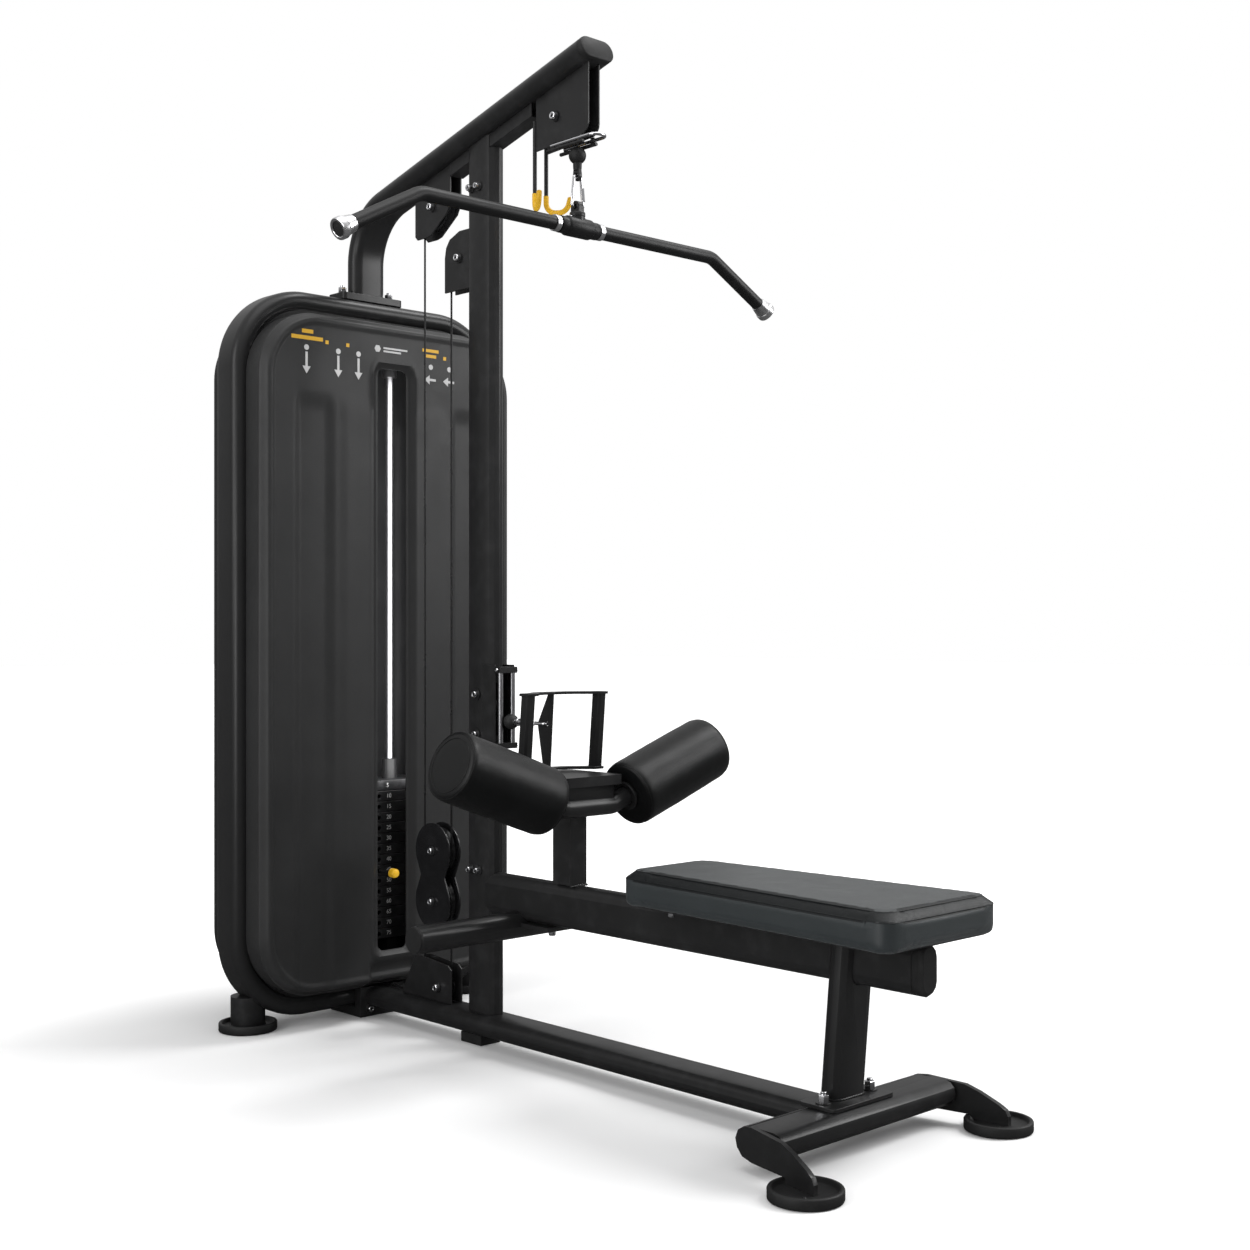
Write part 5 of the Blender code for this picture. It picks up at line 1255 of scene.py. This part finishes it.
# ------------------------------------------------------------------ floor, light, camera
fm, nt, b = new_mat("floor_white")
b.inputs["Roughness"].default_value = 0.75
nt.links.new(ramp(nt, noise_node(nt, 3.0, 3.0).outputs["Fac"], [(0.3, (0.930, 0.930, 0.932)), (0.7, (0.940, 0.940, 0.942))]),
             b.inputs["Base Color"])
b.inputs["Specular IOR Level"].default_value = 0.15
flp = nt.nodes.new("ShaderNodeLightPath")
fdk = nt.nodes.new("ShaderNodeBsdfDiffuse")
fdk.inputs["Color"].default_value = (0.10, 0.10, 0.10, 1.0)
fmx = nt.nodes.new("ShaderNodeMixShader")
nt.links.new(flp.outputs["Is Glossy Ray"], fmx.inputs[0])
nt.links.new(b.outputs[0], fmx.inputs[1])
nt.links.new(fdk.outputs[0], fmx.inputs[2])
fpos = nt.nodes.new("ShaderNodeNewGeometry")
flen = nt.nodes.new("ShaderNodeVectorMath")
flen.operation = "LENGTH"
nt.links.new(fpos.outputs["Position"], flen.inputs[0])
fmap = nt.nodes.new("ShaderNodeMapRange")
fmap.interpolation_type = "SMOOTHSTEP"
fmap.inputs["From Min"].default_value = 0.95
fmap.inputs["From Max"].default_value = 2.10
fmap.inputs["To Min"].default_value = 0.02
fmap.inputs["To Max"].default_value = 0.60
nt.links.new(flen.outputs["Value"], fmap.inputs["Value"])
fem = nt.nodes.new("ShaderNodeEmission")
fmul = nt.nodes.new("ShaderNodeMath")
fmul.operation = "MULTIPLY"
nt.links.new(fmap.outputs["Result"], fmul.inputs[0])
nt.links.new(flp.outputs["Is Camera Ray"], fmul.inputs[1])
nt.links.new(fmul.outputs[0], fem.inputs["Strength"])
fadd = nt.nodes.new("ShaderNodeAddShader")
nt.links.new(fmx.outputs[0], fadd.inputs[0])
nt.links.new(fem.outputs[0], fadd.inputs[1])
nt.links.new(fadd.outputs[0], nt.nodes["Material Output"].inputs["Surface"])
fme = bpy.data.meshes.new("floor")
fme.from_pydata([(-40, -40, 0), (40, -40, 0), (40, 40, 0), (-40, 40, 0)], [], [(0, 1, 2, 3)])
fme.materials.append(fm)
floor = bpy.data.objects.new("floor", fme)
floor.location = (0, 0, -0.0006)
bpy.context.scene.collection.objects.link(floor)

world = bpy.data.worlds.new("studio")
world.use_nodes = True
wt = world.node_tree
for nd in list(wt.nodes):
    wt.nodes.remove(nd)
wout = wt.nodes.new("ShaderNodeOutputWorld")
lp_ = wt.nodes.new("ShaderNodeLightPath")


def backdrop(col, strength):
    b_ = wt.nodes.new("ShaderNodeBackground")
    b_.inputs["Color"].default_value = (*col, 1.0)
    b_.inputs["Strength"].default_value = strength
    return b_


white = backdrop((1, 1, 1), 1.0)
soft_w = backdrop((1, 1, 1), 0.52)
gloss = backdrop((1, 1, 1), 1.0)
geo_w = wt.nodes.new("ShaderNodeTexCoord")
sep_w = wt.nodes.new("ShaderNodeSeparateXYZ")
wt.links.new(geo_w.outputs["Generated"], sep_w.inputs[0])
up = wt.nodes.new("ShaderNodeValToRGB")
els = up.color_ramp.elements
els[0].position, els[0].color = 0.0, (0.08, 0.08, 0.08, 1)
els[1].position, els[1].color = 1.0, (1.0, 1.0, 1.0, 1)
for p_, c_ in ((0.49, 0.14), (0.56, 0.34), (0.80, 0.70)):
    e_ = els.new(p_)
    e_.color = (c_, c_, c_, 1)
remap = wt.nodes.new("ShaderNodeMapRange")
remap.inputs["From Min"].default_value = -1.0
remap.inputs["From Max"].default_value = 1.0
wt.links.new(sep_w.outputs["Z"], remap.inputs["Value"])
wt.links.new(remap.outputs["Result"], up.inputs["Fac"])
wt.links.new(up.outputs["Color"], gloss.inputs["Color"])
m1 = wt.nodes.new("ShaderNodeMixShader")
wt.links.new(lp_.outputs["Is Glossy Ray"], m1.inputs[0])
wt.links.new(soft_w.outputs[0], m1.inputs[1])
wt.links.new(gloss.outputs[0], m1.inputs[2])
m2 = wt.nodes.new("ShaderNodeMixShader")
wt.links.new(lp_.outputs["Is Camera Ray"], m2.inputs[0])
wt.links.new(m1.outputs[0], m2.inputs[1])
wt.links.new(white.outputs[0], m2.inputs[2])
wt.links.new(m2.outputs[0], wout.inputs[0])
bpy.context.scene.world = world


def area(name, loc, target, size, energy, col=(1, 1, 1), size_y=None):
    li = bpy.data.lights.new(name, "AREA")
    li.shape = "RECTANGLE"
    li.size = size
    li.size_y = size_y or size
    li.energy = energy
    li.color = col
    ob = bpy.data.objects.new(name, li)
    ob.location = loc
    ob.rotation_euler = (Vector(target) - Vector(loc)).to_track_quat("-Z", "Y").to_euler()
    bpy.context.scene.collection.objects.link(ob)
    return ob


sl = bpy.data.lights.new("overhead", "SUN")
sl.energy = 1.30
sl.angle = math.radians(22)
so = bpy.data.objects.new("overhead", sl)
so.rotation_euler = Vector((-0.62, 0.30, -1.0)).to_track_quat("-Z", "Y").to_euler()
bpy.context.scene.collection.objects.link(so)
area("key", (3.1, -2.7, 2.7), (0, 0.3, 1.25), 2.2, 95, size_y=2.0)
area("fill_left", (-4.2, 0.6, 2.4), (0, 0.6, 1.2), 1.6, 52, size_y=2.6)
area("top", (-0.4, -0.5, 4.2), (0, 0.1, 0.9), 2.4, 30)

area("low_left", (-3.9, -0.9, 1.0), (0, -0.2, 0.5), 1.3, 30)
inner = area("cavity", (0, 1.655 - Y0, 1.12), (0, 1.80 - Y0, 1.12), 0.26, 6.0, size_y=1.05)
inner.visible_camera = False

cam = bpy.data.cameras.new("camera")
cam.sensor_width = 36.0
cam.lens = 48.27
cam.shift_y = 0.004
cam.clip_end = 200.0
co = bpy.data.objects.new("camera", cam)
co.location = (-2.5226, -1.8804 - Y0, 0.985)
co.rotation_euler = (math.radians(90.0), 0.0, math.radians(-43.7))
bpy.context.scene.collection.objects.link(co)
bpy.context.scene.camera = co
bpy.context.scene.view_settings.view_transform = "Standard"
